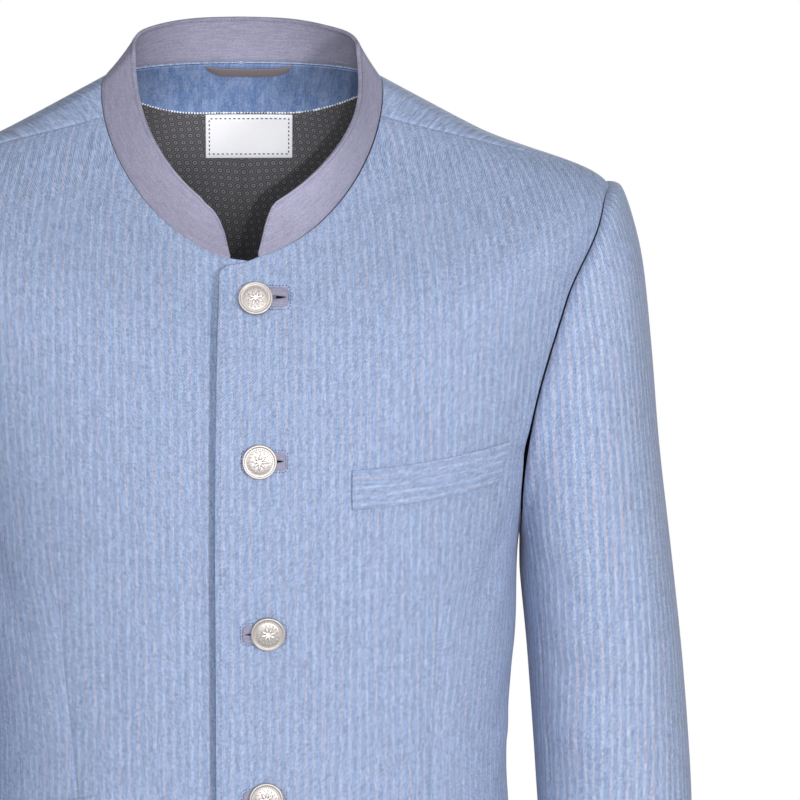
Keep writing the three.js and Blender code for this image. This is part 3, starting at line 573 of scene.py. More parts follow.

# %% [markdown]
# ## Folds placed by hand
# ## Folds listed one by one
# short breaks at the waist and elbows, slow waves in the skirt. Each is one line of a table: where it
# starts and ends, its half width, and its height, below nought for a trough. A simulation would crumple
# this firm cloth more than the real one is.

# %% Fold tables
# across at start, height at start, across at end, height at end, half width, rise, in millimetres;
# across is counted in millimetres for each radian round the body or a sleeve
BODY_RADIAN = 200
SLEEVE_RADIAN = 60
FRONT_FOLDS = [
    [238, -262, 178, -330, 13, -1.6],
    [252, -300, 196, -352, 12, 1.3],
    [262, -215, 205, -236, 12, -1.3],
    [296, -372, 232, -398, 11, -1.7],
    [304, -410, 236, -424, 10, 1.5],
    [300, -446, 240, -452, 11, -1.5],
    [150, -600, 168, -735, 24, 1.8],
    [212, -560, 236, -735, 24, -2.0],
    [262, -590, 282, -735, 20, 1.8],
    [74, -640, 84, -738, 26, -1.2],
    [150, -120, 196, -160, 20, -1.1],
    [60, -330, 150, -402, 30, -0.8],
    [52, -455, 140, -500, 26, 0.7],
]
BACK_FOLDS = [
    [380, -150, 446, -262, 22, -2.0],
    [366, -190, 410, -300, 18, 1.6],
    [360, -330, 440, -392, 14, -2.0],
    [346, -392, 450, -420, 13, 1.8],
    [340, -430, 430, -448, 12, -1.7],
    [470, -70, 560, -92, 18, -1.2],
    [430, -560, 420, -728, 26, -2.2],
    [520, -590, 508, -728, 30, 2.0],
    [590, -470, 606, -640, 24, -1.5],
    [360, -590, 352, -728, 20, 1.6],
]
SLEEVE_FOLDS = [
    [60, -395, 150, -362, 10, -2.2],
    [70, -424, 165, -404, 10, 2.0],
    [78, -452, 158, -446, 9, -2.0],
    [96, -330, 150, -300, 13, -1.6],
    [-60, -372, -118, -350, 14, 1.5],
    [-40, -420, -110, -432, 14, -1.7],
    [40, -505, 130, -520, 15, -1.5],
    [-20, -560, 70, -590, 18, 1.2],
    [20, -95, 44, -235, 16, -1.1],
    [-44, -100, -62, -240, 18, 1.2],
    [86, -170, 96, -260, 14, 1.3],
    [30, -610, 110, -640, 16, -1.2],
]


def relief(folds, across, height):
    total = np.zeros(np.broadcast(across, height).shape)
    for a0, h0, a1, h1, width, rise in folds:
        run_a = a1 - a0
        run_h = h1 - h0
        t = ((across - a0) * run_a + (height - h0) * run_h) / (run_a**2 + run_h**2)
        held = np.clip(t, 0, 1)
        off = np.hypot(across - a0 - held * run_a, height - h0 - held * run_h)
        fade = np.sin(math.pi * np.clip(held, 0.04, 0.96)) ** 0.7
        total += rise * bell(off, width) * fade
    return total


SEAM_DEPTH = 0.9
SEAM_WIDTH = 1.3
COLLAR_SEAM_DEPTH = 0.35


def seam_dip(distance, depth=SEAM_DEPTH):
    """Cloth rolls down into a pressed seam"""
    return -depth * np.exp(-((np.abs(distance) / SEAM_WIDTH) ** 1.3))


print("folds:", len(FRONT_FOLDS), len(BACK_FOLDS), len(SLEEVE_FOLDS))

# %% [markdown]
# ## From a grid to a sheet of cloth
# A cut piece is a grid of points on its outside, the same grid one cloth thickness further in, and a rim
# that closes the edge. Mesh code makes it, because every point comes from a formula. A small bevel then
# rounds the cut edges as a folded seam edge is round.

# %% Cloth sheets
PIECES = {}
CUT_SIZES = {}


def grid_faces(rows, columns, start, turned):
    i, j = np.meshgrid(np.arange(rows - 1), np.arange(columns - 1), indexing="ij")
    a = start + i * columns + j
    quads = np.stack([a, a + 1, a + columns + 1, a + columns], -1).reshape(-1, 4)
    return quads[:, ::-1] if turned else quads


def rim_faces(rows, columns):
    inner = rows * columns
    top = np.arange(columns)
    edge = np.concatenate([
        top,
        np.arange(1, rows) * columns + columns - 1,
        (rows - 1) * columns + top[-2::-1],
        np.arange(rows - 2, 0, -1) * columns,
    ])
    after = np.roll(edge, -1)
    return np.stack([edge, edge + inner, after + inner, after], -1)


def take_up(*pieces):
    """Selects these pieces alone and makes the first one active"""
    bpy.ops.object.select_all(action="DESELECT")
    for piece in pieces:
        piece.select_set(True)
    bpy.context.view_layer.objects.active = pieces[0]


def joined(parts):
    take_up(*parts)
    bpy.ops.object.join()
    return bpy.context.object


def bevelled(piece, width, degrees):
    """Rounds edges sharper than an angle, width millimetres wide, on the active piece"""
    bevel = piece.modifiers.new("round_edges", "BEVEL")
    bevel.width = width * MM
    bevel.segments = 2
    bevel.limit_method = "ANGLE"
    bevel.angle_limit = math.radians(degrees)
    bpy.ops.object.modifier_apply(modifier=bevel.name)


def new_piece(name, points, faces, materials, places=None):
    """A piece from points in metres and a list of faces; places are where its points lie on the grain"""
    mesh = bpy.data.meshes.new(name)
    mesh.from_pydata(points.tolist(), [], faces)
    if places is not None:
        corners = [point for face in faces for point in face]
        uv = mesh.uv_layers.new(name="grain")
        uv.data.foreach_set("uv", places[corners].astype(np.float32).ravel())
    for material in materials:
        mesh.materials.append(material)
    piece = bpy.data.objects.new(name, mesh)
    bpy.context.scene.collection.objects.link(piece)
    PIECES[name] = piece
    return piece


def finish_edges(piece, width):
    take_up(piece)
    if width:
        bevelled(piece, width, 50)
    bpy.ops.object.shade_smooth()
    piece.select_set(False)


def mirrored(points, side):
    return points * np.array([side, 1, 1])


def cloth_sheet(name, outer, inner, across, along, materials, side=1, inside_where=None, edge=0.4):
    """A closed sheet from two grids of points in millimetres; across and along are its places on the grain.

    A second material goes on the inside, where inside_where is true or everywhere.
    """
    rows, columns = outer.shape[:2]
    points = mirrored(np.concatenate([outer.reshape(-1, 3), inner.reshape(-1, 3)]), side) * MM
    front = grid_faces(rows, columns, 0, False)
    back = grid_faces(rows, columns, rows * columns, True)
    faces = np.concatenate([front, back, rim_faces(rows, columns)])
    centre = points[faces].mean(1)
    spans = np.cross(points[faces[:, 2]] - points[faces[:, 0]], points[faces[:, 3]] - points[faces[:, 1]])
    if (centre * spans).sum() < 0:
        faces = faces[:, ::-1]
    places = np.stack([across, along], -1).reshape(-1, 2) * MM
    piece = new_piece(name, points, faces.tolist(), materials, np.concatenate([places, places]))
    if len(materials) > 1:
        slots = np.zeros(len(faces), np.int32)
        slots[len(front):len(front) + len(back)] = 1 if inside_where is None else inside_where.reshape(-1)
        piece.data.polygons.foreach_set("material_index", slots)
    finish_edges(piece, edge)
    CUT_SIZES[name] = places.max(0) - places.min(0)
    return piece


def grid_normals(points, guide):
    """Directions square to a grid of points, on the side that guide points to"""
    down = np.gradient(points, axis=0)
    over = np.gradient(points, axis=1)
    normal = unit(np.cross(over, down))
    return normal * np.sign((normal * guide).sum(-1, keepdims=True))


def added_up(spans, axis):
    """Running total along an axis, from nought"""
    return np.insert(np.cumsum(spans, axis), 0, 0, axis)


def run_length(points, axis=1):
    """Length along each row of a grid of points, or up each column if axis is 0"""
    return added_up(np.linalg.norm(np.diff(points, axis=axis), axis=-1), axis)


def read_rows(at, run, values):
    """For each row, the values at some places; run holds the places of the values"""
    return np.array([np.interp(*row) for row in zip(at, run, np.broadcast_to(values, run.shape))])


def read_line(at, run, line):
    """Points at some lengths of a line"""
    return np.stack([np.interp(at, run, line[:, k]) for k in range(3)], -1)


PAIR_SHIFT = 1370
PAIR = (("left", 1), ("right", -1))


def cut_place(across, side):
    """The right piece of a pair is cut face to face with the left one, from another place on the cloth"""
    return across + (0 if side > 0 else PAIR_SHIFT)


print("a sheet of 2 by 2 points has", len(rim_faces(2, 2)), "rim faces")

# %% [markdown]
# ## Fronts
# Each front runs from its edge to side seam, armhole and shoulder seam. The left one laps over the right
# and lifts a little at its edge. A waist dart takes cloth away: there the surface has a sharp line, and the
# grain jumps across it, so the stripes at the side run into the seam as they do on the real jacket.

# %% Front panels
BODY_WALL = 2.0
FRONT_COLUMNS = 13
OVERLAP_EDGE = (15.5, 19.0)
UNDERLAP_EDGE = 20.0
NEAR_X = (9.4, 17.0, 27.0)
DART_TAKE_UP = 15.0
DART_TOP = -300
DART_LOW = -548
DART_STEPS = np.array([-3.2, -1.8, -0.9, -0.3, 0.3, 0.9, 1.8, 3.2])
DART_MARGIN = 5
# above the dart its columns go on, at most this share of the way from edge to armhole
DART_LIMIT = 0.72
# the lining begins this far from the centre; nearer to it the front is faced with its own cloth
LINED_FROM = 70
# rows of points below the armhole, beside it and above it
ROWS_BELOW = 118
ROWS_BESIDE = 58
FRONT_ROWS_ABOVE = 46
BACK_ROWS_ABOVE = 40
# height and distance from the centre of the waist dart, for each side
DARTS = {
    1: ([-560, -434, -370, -303], [115, 118, 120.5, 122.5]),
    -1: ([-560, -434, -370, -303], [103, 108, 114, 119]),
}


def front_lift(side, row, x):
    """How far a front stands off the body's form: the left one lifts at its edge, the right one lies under"""
    if side > 0:
        return 0.8 * smooth((4 - x) / 20) + 0.9 * smooth((-2 - x) / 16)
    deep = 2.6 + 3.4 * smooth((NECK_ROW - row) / 1.4)
    return -deep * smooth((37 - x) / 20)


def top_fall(side, x):
    """How far the neck edge falls towards the front edge, in rows"""
    if side > 0:
        return 0.22 * smooth((11 - x) / 20) + 0.3 * smooth((-8 - x) / 9)
    return 0.2 * smooth((2 - x) / 18)


def front_angle(side, row, column):
    """Angle of a column number of a front, for rows and columns of one shape"""
    edge = -UNDERLAP_EDGE * np.ones_like(row)
    if side > 0:
        edge = -(OVERLAP_EDGE[0] + (OVERLAP_EDGE[1] - OVERLAP_EDGE[0]) * smooth((NECK_ROW - row) / 5))
    knots = [edge, edge + 5, edge + 13] + [x * np.ones_like(row) for x in NEAR_X]
    near = np.zeros_like(row)
    for k, (first, last) in enumerate(zip(knots, knots[1:])):
        near = np.where((column >= k) & (column <= k + 1), first + (last - first) * (column - k), near)
    start = angle_at_x(row, knots[5])
    share = (column - 5) / (FRONT_COLUMNS - 5)
    return np.where(column <= 5, angle_at_x(row, near), start + (side_angle(row, 1) - start) * share)


def front_base(side, row, angle):
    """A front without its folds: points and directions, as on the wearer's left"""
    x = body(row, angle)[..., 0]
    low = row - top_fall(side, x) * smooth((row - 8) / 2)
    angle = np.where(low < row, angle_at_x(low, x), angle)
    normal = body_normal(low, angle)
    lift = np.where(np.cos(angle) > 0.3, front_lift(side, low, x), 0)
    return body(low, angle) + normal * lift[..., None], normal


def dart_reach(height):
    """How much of the dart is there at a height: nought at both ends, one at the waist"""
    share = np.clip((height - DART_LOW) / (DART_TOP - DART_LOW), 0, 1)
    return np.sin(math.pi * share) ** 0.8


def body_rows(above):
    turns = np.linspace(math.pi, 0, ROWS_BESIDE)
    low = np.linspace(0, ARMHOLE_LOW, ROWS_BELOW, endpoint=False)
    high = np.linspace(ARMHOLE_TOP, NECK_ROW, above + 1)[1:]
    return np.concatenate([low, ARMHOLE_MIDDLE + ARMHOLE_HALF * np.cos(turns), high])


EDGE_STEPS = np.array([0, 0.5, 1.1, 1.9, 3.0, 4.6, 6.6])


def places_between(start, end, count, open_start=True, open_end=True):
    """Places across a piece for each row: close together at an open edge, even between"""
    first = EDGE_STEPS if open_start else EDGE_STEPS[:1]
    last = EDGE_STEPS if open_end else EDGE_STEPS[:1]
    share = np.linspace(0, 1, count + 2)[None, 1:-1]
    low = start[:, None] + first[None]
    high = end[:, None] - last[None, ::-1]
    middle = low[:, -1:] + (high[:, :1] - low[:, -1:]) * share
    return np.concatenate([low, middle, high], 1)


def grain_weight(row):
    """Over the shoulder the way from front to back counts along the grain, below it counts across"""
    return 1 - 0.72 * smooth((row - 7) / 3)


def grain_across(points, rows):
    """Place across the grain, along each row"""
    steps = np.diff(points, axis=1)
    return added_up(np.sqrt(steps[..., 0] ** 2 + grain_weight(rows)[:, None] * steps[..., 1] ** 2), 1)


def grain_up(points, rows):
    """Place along the grain, up from the hem: over the shoulder the way back counts too"""
    steps = np.diff(points, axis=0)
    share = 1 - grain_weight((rows[1:] + rows[:-1]) / 2)[:, None]
    return added_up(np.sqrt(steps[..., 2] ** 2 + share * steps[..., 1] ** 2), 0)


def run_to_top(points):
    """Distance down from the top edge, along each column"""
    lengths = run_length(points, 0)
    return lengths[-1:] - lengths


def cell_mean(values):
    return (values[:-1, :-1] + values[1:, 1:]) / 2


def front_panel(word, side):
    """A dense first pass measures every row, then the real columns are placed by their length along it"""
    rows = body_rows(FRONT_ROWS_ABOVE)
    dense = np.linspace(0, FRONT_COLUMNS, 420)
    row_grid, column_grid = np.meshgrid(rows, dense, indexing="ij")
    points, _ = front_base(side, row_grid, front_angle(side, row_grid, column_grid))
    x = points[..., 0]
    lengths = run_length(points)
    ends = lengths[:, -1]
    grain = grain_across(points, rows)
    nought = np.zeros(len(rows))
    dart = read_rows(nought, x - np.interp(points[..., 2], *DARTS[side]), lengths)
    dart = np.minimum(dart, ends * DART_LIMIT)
    before = places_between(nought, dart - DART_MARGIN, 26, True, False)
    after = places_between(dart + DART_MARGIN, ends, 28, False, True)
    places = np.concatenate([before, dart[:, None] + DART_STEPS, after], 1)
    columns = read_rows(places, lengths, dense)
    across = read_rows(places, lengths, grain) - read_rows(nought, x, grain)[:, None]
    row_grid = np.broadcast_to(rows[:, None], places.shape)
    angles = front_angle(side, row_grid, columns)
    points, guide = front_base(side, row_grid, angles)
    height = points[..., 2]
    normal = grid_normals(points, guide)
    from_dart = places - dart[:, None]
    reach = dart_reach(height)
    across = across + np.where(from_dart > 0, DART_TAKE_UP * reach, 0)
    rise = relief(FRONT_FOLDS, BODY_RADIAN * angles, height)
    rise += seam_dip(places - ends[:, None])
    rise += seam_dip(run_to_top(points), COLLAR_SEAM_DEPTH) * (angles > angle_at_x(row_grid, 8.0))
    rise += reach ** 0.5 * (-0.6 * bell(from_dart, 0.9) - 1.1 * bell(from_dart, 8))
    outer = points + normal * rise[..., None]
    lined = cell_mean(points[..., 0]) > LINED_FROM
    piece = cloth_sheet(
        f"front_{word}_cloth", outer, outer - normal * BODY_WALL, cut_place(across, side),
        grain_up(points, rows), (BODY_CLOTH, LINING_SATIN), side, lined,
    )
    return piece, outer, normal


FRONTS = {}
for word, side in PAIR:
    FRONTS[side] = front_panel(word, side)
    print(FRONTS[side][0].name, len(FRONTS[side][0].data.polygons), "faces")

# %% [markdown]
# ## Backs
# The two backs meet at the centre back seam, which draws in at the waist. They are cut from the same cloth
# and the stripes of one mirror those of the other.

# %% Back panels
def back_angle(row, share):
    first = side_angle(row, -1)
    return first + (math.pi - first) * share


def back_base(row, angle):
    points = body(row, angle)
    normal = body_normal(row, angle)
    rise = relief(BACK_FOLDS, BODY_RADIAN * angle, points[..., 2])
    return points, normal, rise


def back_panel(word, side):
    rows = body_rows(BACK_ROWS_ABOVE)
    dense = np.linspace(0, 1, 300)
    row_grid, share_grid = np.meshgrid(rows, dense, indexing="ij")
    points = body(row_grid, back_angle(row_grid, share_grid))
    lengths = run_length(points)
    ends = lengths[:, -1]
    grain = grain_across(points, rows)
    places = places_between(0 * ends, ends, 58)
    shares = read_rows(places, lengths, dense)
    across = grain[:, -1:] - read_rows(places, lengths, grain)
    row_grid = np.broadcast_to(rows[:, None], places.shape)
    points, guide, rise = back_base(row_grid, back_angle(row_grid, shares))
    normal = grid_normals(points, guide)
    normal[:, -1, 0] = 0
    normal = unit(normal)
    rise = rise + seam_dip(places) + seam_dip(places - ends[:, None])
    rise += seam_dip(run_to_top(points), COLLAR_SEAM_DEPTH)
    outer = points + normal * rise[..., None]
    return cloth_sheet(
        f"back_{word}_cloth", outer, outer - normal * BODY_WALL, cut_place(across, side),
        grain_up(points, rows), (BODY_CLOTH, LINING_SATIN), side,
    )


for word, side in PAIR:
    back = back_panel(word, side)
    print(back.name, len(back.data.polygons), "faces")

# %% [markdown]
# ## Sleeves
# A tailored sleeve is two pieces, a wide top sleeve and a narrow under sleeve, set into the armhole. It is
# a bent tube: a table gives the outer and inner side of each ring down the arm, and the first rings keep
# the armhole's own curve, which makes the round sleeve head.

# %% Sleeve form
# outer x and z, inner x and z, middle y, half depth front and back, share of the armhole's curve
SLEEVE_RINGS = np.array([
    [235, -62, 178.8, -280, 4, 66, 72, 1.0],
    [243, -64, 179.4, -285, 2, 68, 74, 0.9],
    [249.8, -80, 179.5, -289, 1, 70, 76, 0.75],
    [257.4, -112, 179.4, -293, 0, 73, 77, 0.55],
    [263.3, -165, 179.2, -298, 0, 75, 77, 0.35],
    [268.8, -230, 179.0, -305, 0, 75, 76, 0.15],
    [277, -300, 179.6, -320, 1, 72, 74, 0.0],
    [284.3, -365, 184, -365, 1, 68, 69, 0.0],
    [288.8, -420, 188.3, -425, -2, 63, 64, 0.0],
    [291.3, -470, 192, -480, -7, 59, 60, 0.0],
    [292.5, -560, 200, -568, -20, 53, 53, 0.0],
    [292, -630, 207, -640, -34, 48, 48, 0.0],
    [289, -690, 210, -697, -48, 44, 44, 0.0],
])
SLEEVE_SQUARE = 2.2
SLEEVE_WALL = 1.6
CUFF_STEP = 12.0
HEAD_STEPS = [0, 0.012, 0.026, 0.045, 0.075, 0.12]
HEAD_ROLL = 0.7
ROUND_SLICES = 40


def sleeve_ovals(turn):
    """Points of every ring at a row of turns: rings, turns, 3"""
    ox, oz, ix, iz, middle, front, back, _ = [SLEEVE_RINGS[:, k, None] for k in range(8)]
    c = np.sign(np.cos(turn)) * np.abs(np.cos(turn)) ** (2 / SLEEVE_SQUARE)
    s = np.sign(np.sin(turn)) * np.abs(np.sin(turn)) ** (2 / SLEEVE_SQUARE)
    y = middle - np.where(s >= 0, front, back) * s
    return np.stack([(ox + ix) / 2 + (ox - ix) / 2 * c, y, (oz + iz) / 2 + (oz - iz) / 2 * c], -1)


def sleeve(steps, turns):
    """Points of the sleeve for a list of steps down it and one row of turns for each step"""
    rows = []
    for step, turn in zip(steps, turns):
        ovals = sleeve_ovals(turn)
        hole = body(ARMHOLE_MIDDLE + ARMHOLE_HALF * np.cos(turn), armhole_angle(turn))
        rings = ovals + (hole - ovals[0])[None] * SLEEVE_RINGS[:, 7, None, None]
        slopes = np.gradient(rings, axis=0)
        i = int(min(step, CUFF_STEP - 1e-6))
        rows.append(hermite(rings[i], rings[i + 1], slopes[i], slopes[i + 1], step - i))
    return np.array(rows)


def sleeve_sizes(height):
    """Middle and half sizes of the sleeve's level section at a height, from the table"""
    outer_x = np.interp(-height, -SLEEVE_RINGS[:, 1], SLEEVE_RINGS[:, 0])
    inner_x = np.interp(-height, -SLEEVE_RINGS[6:, 3], SLEEVE_RINGS[6:, 2])
    middle, front, back = [np.interp(-height, -SLEEVE_RINGS[3:, 1], SLEEVE_RINGS[3:, k]) for k in (4, 5, 6)]
    return (outer_x + inner_x) / 2, (outer_x - inner_x) / 2, middle, front, back


def level_round(points, under):
    """Length round the sleeve's level section from its outer side to each point: stripes follow this"""
    x, half, y, front, back = sleeve_sizes(points[..., 2])
    depth = np.where(points[..., 1] < y, front, back)
    bearing = np.arctan2((y - points[..., 1]) / depth, (points[..., 0] - x) / half)
    if under:
        bearing = bearing % TURN
    total = np.zeros(bearing.shape)
    for k in range(ROUND_SLICES):
        part = bearing * (k + 0.5) / ROUND_SLICES
        depth = np.where(np.sin(part) > 0, front, back)
        total += np.hypot(half * np.sin(part), depth * np.cos(part)) * bearing / ROUND_SLICES
    return total


def sleeve_panel(name, side, first, last, count):
    steps = np.concatenate([HEAD_STEPS, np.linspace(0.17, CUFF_STEP, 176)])
    dense = np.linspace(first, last, 400)
    lengths = run_length(sleeve(steps, np.repeat(dense[None], len(steps), 0)))
    ends = lengths[:, -1]
    places = places_between(0 * ends, ends, count)
    turns = read_rows(places, lengths, dense)
    points = sleeve(steps, turns)
    across = level_round(points, first > QUARTER)
    normal = grid_normals(points, points - points.mean(1, keepdims=True))
    down = run_length(points, 0)
    bearing = np.where(turns > math.pi * 1.1, turns - TURN, turns)
    rise = relief(SLEEVE_FOLDS, SLEEVE_RADIAN * bearing, points[..., 2])
    rise = rise * smooth(down / 12) + seam_dip(places) + seam_dip(places - ends[:, None])
    rise += seam_dip(down) + HEAD_ROLL * bell(down - 7, 5)
    outer = points + normal * rise[..., None]
    return cloth_sheet(
        name, outer, outer - normal * SLEEVE_WALL, cut_place(-across, side), points[..., 2],
        (SLEEVE_CLOTH, LINING_SATIN), side,
    )


FORE_SEAM = math.radians(150)
HIND_SEAM = math.radians(240)
for word, side in PAIR:
    top = sleeve_panel(f"top_sleeve_{word}_cloth", side, HIND_SEAM - TURN, FORE_SEAM, 78)
    under = sleeve_panel(f"under_sleeve_{word}_cloth", side, FORE_SEAM, HIND_SEAM, 24)
    print(top.name, len(top.data.polygons), under.name, len(under.data.polygons))

# %% [markdown]
# ## Stand collar
# A straight band of the mauve cloth, interlined and folded over at the top, with round front ends. It
# follows the neck seam and leans in towards the neck. The lean changes round the neck, so a small table
# gives it by bearing, from the centre front to the centre back.

# %% Collar
COLLAR_WALL = 2.4
COLLAR_HEIGHT = 30
COLLAR_END_CURVE = 20
# how much more the collar leans at its foot than at its top, in degrees
COLLAR_BELLY = 8
UPRIGHT = np.array([0, 0, 1])
# lean in degrees every 30 degrees of bearing, on the wearer's left and right
LEAN_LEFT = np.array([36, 17, 13, 32, 34.5, 22.5, 18], float)
LEAN_RIGHT = np.array([41, 40, 40, 45, 34, 21, 18], float)


def neck_half(side):
    columns = np.linspace(3, FRONT_COLUMNS, 90)
    rows = np.full(90, float(NECK_ROW))
    front, _ = front_base(side, rows, front_angle(side, rows, columns))
    shares = np.linspace(0, 1, 70)[1:]
    rows = np.full(69, float(NECK_ROW))
    back = body(rows, back_angle(rows, shares))
    return mirrored(np.concatenate([front, back]), side)


def even_run(points, count):
    """Points evenly along a line but closer together at its ends, and their lengths from its start"""
    run = run_length(points[None])[0]
    near = np.array([0, 0.4, 1.0, 1.8, 2.8, 4.0, 5.4, 7.0])
    between = np.linspace(near[-1], run[-1] - near[-1], count)[1:-1]
    places = np.concatenate([near, between, run[-1] - near[::-1]])
    return read_line(places, run, points), places


def collar_grid():
    line = np.concatenate([neck_half(1), neck_half(-1)[-2::-1]])
    base, run = even_run(line, 150)
    bearing = np.degrees(np.arctan2(np.abs(base[:, 0]), -base[:, 1]))
    left = along_table(LEAN_LEFT, bearing / 30)
    right = along_table(LEAN_RIGHT, bearing / 30)
    lean = left + (right - left) * smooth((3 - base[:, 0]) / 6)
    from_end = np.minimum(run, run[-1] - run)
    full = COLLAR_HEIGHT + 0.5 * smooth((bearing - 20) / 120)
    height = full * np.sin(QUARTER * np.minimum(1, (from_end + 1.2) / COLLAR_END_CURVE))
    tangent = unit(np.gradient(base, axis=0))
    outward = unit(np.stack([tangent[:, 1], -tangent[:, 0], 0 * run], 1))
    shares = np.concatenate([[0, 0.02, 0.05], np.linspace(0.1, 0.9, 12), [0.94, 0.97, 1]])
    place = base + UPRIGHT * 0.1
    grid = [place]
    normals = []
    for k, share in enumerate(shares):
        tilt = np.radians(lean + COLLAR_BELLY * (0.5 - min(1, share + 0.17)))
        up = outward * -np.sin(tilt)[:, None] + UPRIGHT * np.cos(tilt)[:, None]
        normals.append(outward * np.cos(tilt)[:, None] + UPRIGHT * np.sin(tilt)[:, None])
        if k:
            place = place + up * ((share - shares[k - 1]) * height)[:, None]
            grid.append(place)
    return np.array(grid), np.array(normals), run, shares, height


def collar_piece():
    points, normal, run, shares, height = collar_grid()
    across = np.outer(shares, height)
    roll = seam_dip(across) - 0.35 * bell(height[None] - across - 2.2, 0.7)
    outer = points + normal * roll[..., None]
    inner = points - normal * (COLLAR_WALL + roll)[..., None]
    along = np.repeat(run[None], len(shares), 0)
    piece = cloth_sheet("collar_cloth", outer, inner, along, across, (COLLAR_CLOTH,), edge=0.9)
    return piece, outer, inner, normal


collar, COLLAR_OUT, COLLAR_IN, COLLAR_NORMAL = collar_piece()
print(collar.name, "is", round(float(run_length(COLLAR_OUT[:1])[0, -1])), "mm long at the seam")

# %% [markdown]
# ## Inside the neck
# Through the neck the photograph shows four more pieces: a blue facing, the dark lining below it, the
# hanger loop and the label. They lie on the inside of the backs, one on another, so each is the back's own
# form moved inwards by what lies under it.

# %% Facing and lining
LINING_WALL = 0.8
FACING_WALL = 1.0
LINING_GAP = 0.6
FACING_LAYER = BODY_WALL + 0.3
FACING_FACE = FACING_LAYER + FACING_WALL
# the column at the centre back, and the rows where the facing and the lining end
CENTRE_BACK = 8
FACING_TOP = 9.985
LINING_LOW = 0.12


def inside_back(row, column, depth):
    """Points on the inside of the back, depth millimetres in from its outside"""
    points, normal, rise = back_base(row, back_angle(row, column / CENTRE_BACK))
    level = unit(normal * np.array([0, 1, 1]))
    normal = np.where((column >= CENTRE_BACK)[..., None], level, normal)
    return points + normal * (rise - depth)[..., None], normal


def facing_edge(column):
    """The row of the facing's lower edge, which dips towards the centre back"""
    return 9.57 - 0.70 * smooth((column - 4) / 3.4)


def across_to_centre(grid):
    run = run_length(grid)
    return run[:, -1:] - run


def both_halves(half, way):
    """Half a grid and its mirror image; way is -1 where the values change sign too"""
    return np.concatenate([half, way * half[:, -2::-1]], 1)


def facing_piece():
    half = np.concatenate([[0.06, 0.1, 0.2], np.linspace(0.4, CENTRE_BACK, 40)])
    shares = np.concatenate([[0, 0.02, 0.05], np.linspace(0.1, 0.95, 14), [1]])
    share_grid, column = np.meshgrid(shares, half, indexing="ij")
    row = facing_edge(column) + (FACING_TOP - facing_edge(column)) * share_grid
    outer, normal = inside_back(row, column, FACING_LAYER)
    across = both_halves(across_to_centre(outer), -1)
    flip = np.array([-1, 1, 1])
    inner = both_halves(outer - normal * FACING_WALL, flip)
    outer = both_halves(outer, flip)
    return cloth_sheet(
        "neck_facing_cloth", inner, outer, across, run_length(outer, 0), (FACING_CLOTH,), edge=0.25,
    )


def lining_piece(word, side):
    columns = np.linspace(0.6, CENTRE_BACK, 46)
    share_grid, column = np.meshgrid(np.linspace(0, 1, 150), columns, indexing="ij")
    top = facing_edge(column) - 0.014
    row = LINING_LOW + (top - LINING_LOW) * share_grid
    outer, normal = inside_back(row, column, BODY_WALL + LINING_GAP)
    pleat = bell((CENTRE_BACK - column) * 9 - 2.0, 1.6) * (1 - smooth((row - 8.2) / 0.3))
    pleat_rise = (1.5 if side > 0 else 0.2) * pleat
    inner = outer - normal * LINING_WALL - normal * pleat_rise[..., None]
    return cloth_sheet(
        f"lining_{word}_satin", inner, outer, across_to_centre(outer) * side, run_length(outer, 0),
        (LINING_SATIN,), side, edge=0.2,
    )


facing = facing_piece()
linings = [lining_piece(word, side) for word, side in PAIR]
print(facing.name, [piece.name for piece in linings])


# %% Hanger loop and label
def row_column_at(row, x):
    """Column of the back at which its row passes a given distance from the centre"""
    columns = np.linspace(0, CENTRE_BACK, 600)
    line = inside_back(np.full(600, row), columns, BODY_WALL)[0][:, 0]
    return float(np.interp(x, line[::-1], columns[::-1]))


def laid_inside(rows, xs, depth):
    """Points on the inside of the backs and their directions, from grids of rows, x and depth"""
    column = np.array([row_column_at(row, abs(x)) for row, x in zip(rows.ravel(), xs.ravel())])
    column = np.minimum(column, CENTRE_BACK - 0.001).reshape(rows.shape)
    points, normals = inside_back(rows, column, depth)
    points[..., 0] = xs
    normals[..., 0] *= np.sign(xs)
    return points, normals


LABEL_X = 5.0
LABEL_WIDTH = 57.0
# top and low edge as rows of the body's table
LABEL_TOP = 8.855
LABEL_LOW = 8.26
LABEL_WALL = 0.7
LABEL_LAYER = BODY_WALL + LINING_GAP + LINING_WALL + 0.45


def label_piece():
    t, s = np.meshgrid(np.linspace(-1, 1, 25), np.linspace(0, 1, 12))
    rows = LABEL_LOW + (LABEL_TOP - LABEL_LOW) * s
    xs = LABEL_X + LABEL_WIDTH / 2 * t
    edge = np.minimum(1 - np.abs(t), np.minimum(s, 1 - s))
    depth = LABEL_LAYER + 0.35 * smooth(edge / 0.09) + 0.25 * np.sin(5 * t + 2) * s * (1 - s) * 4
    outer, normal = laid_inside(rows, xs, depth)
    inner = outer - normal * LABEL_WALL
    along = run_length(outer, 0)
    piece = cloth_sheet("label_satin_piece", inner, outer, xs, along, (LABEL_SATIN,), edge=0.2)
    return piece, inner, normal


LOOP_LENGTH = 56.0
LOOP_WIDTH = 6.5
LOOP_SAG = 1.6
# the ends of the tape turn in over this share of half its length
LOOP_END = 0.42
# millimetres from one row of the back to the next, just under the collar
ROW_LENGTH = 36.0


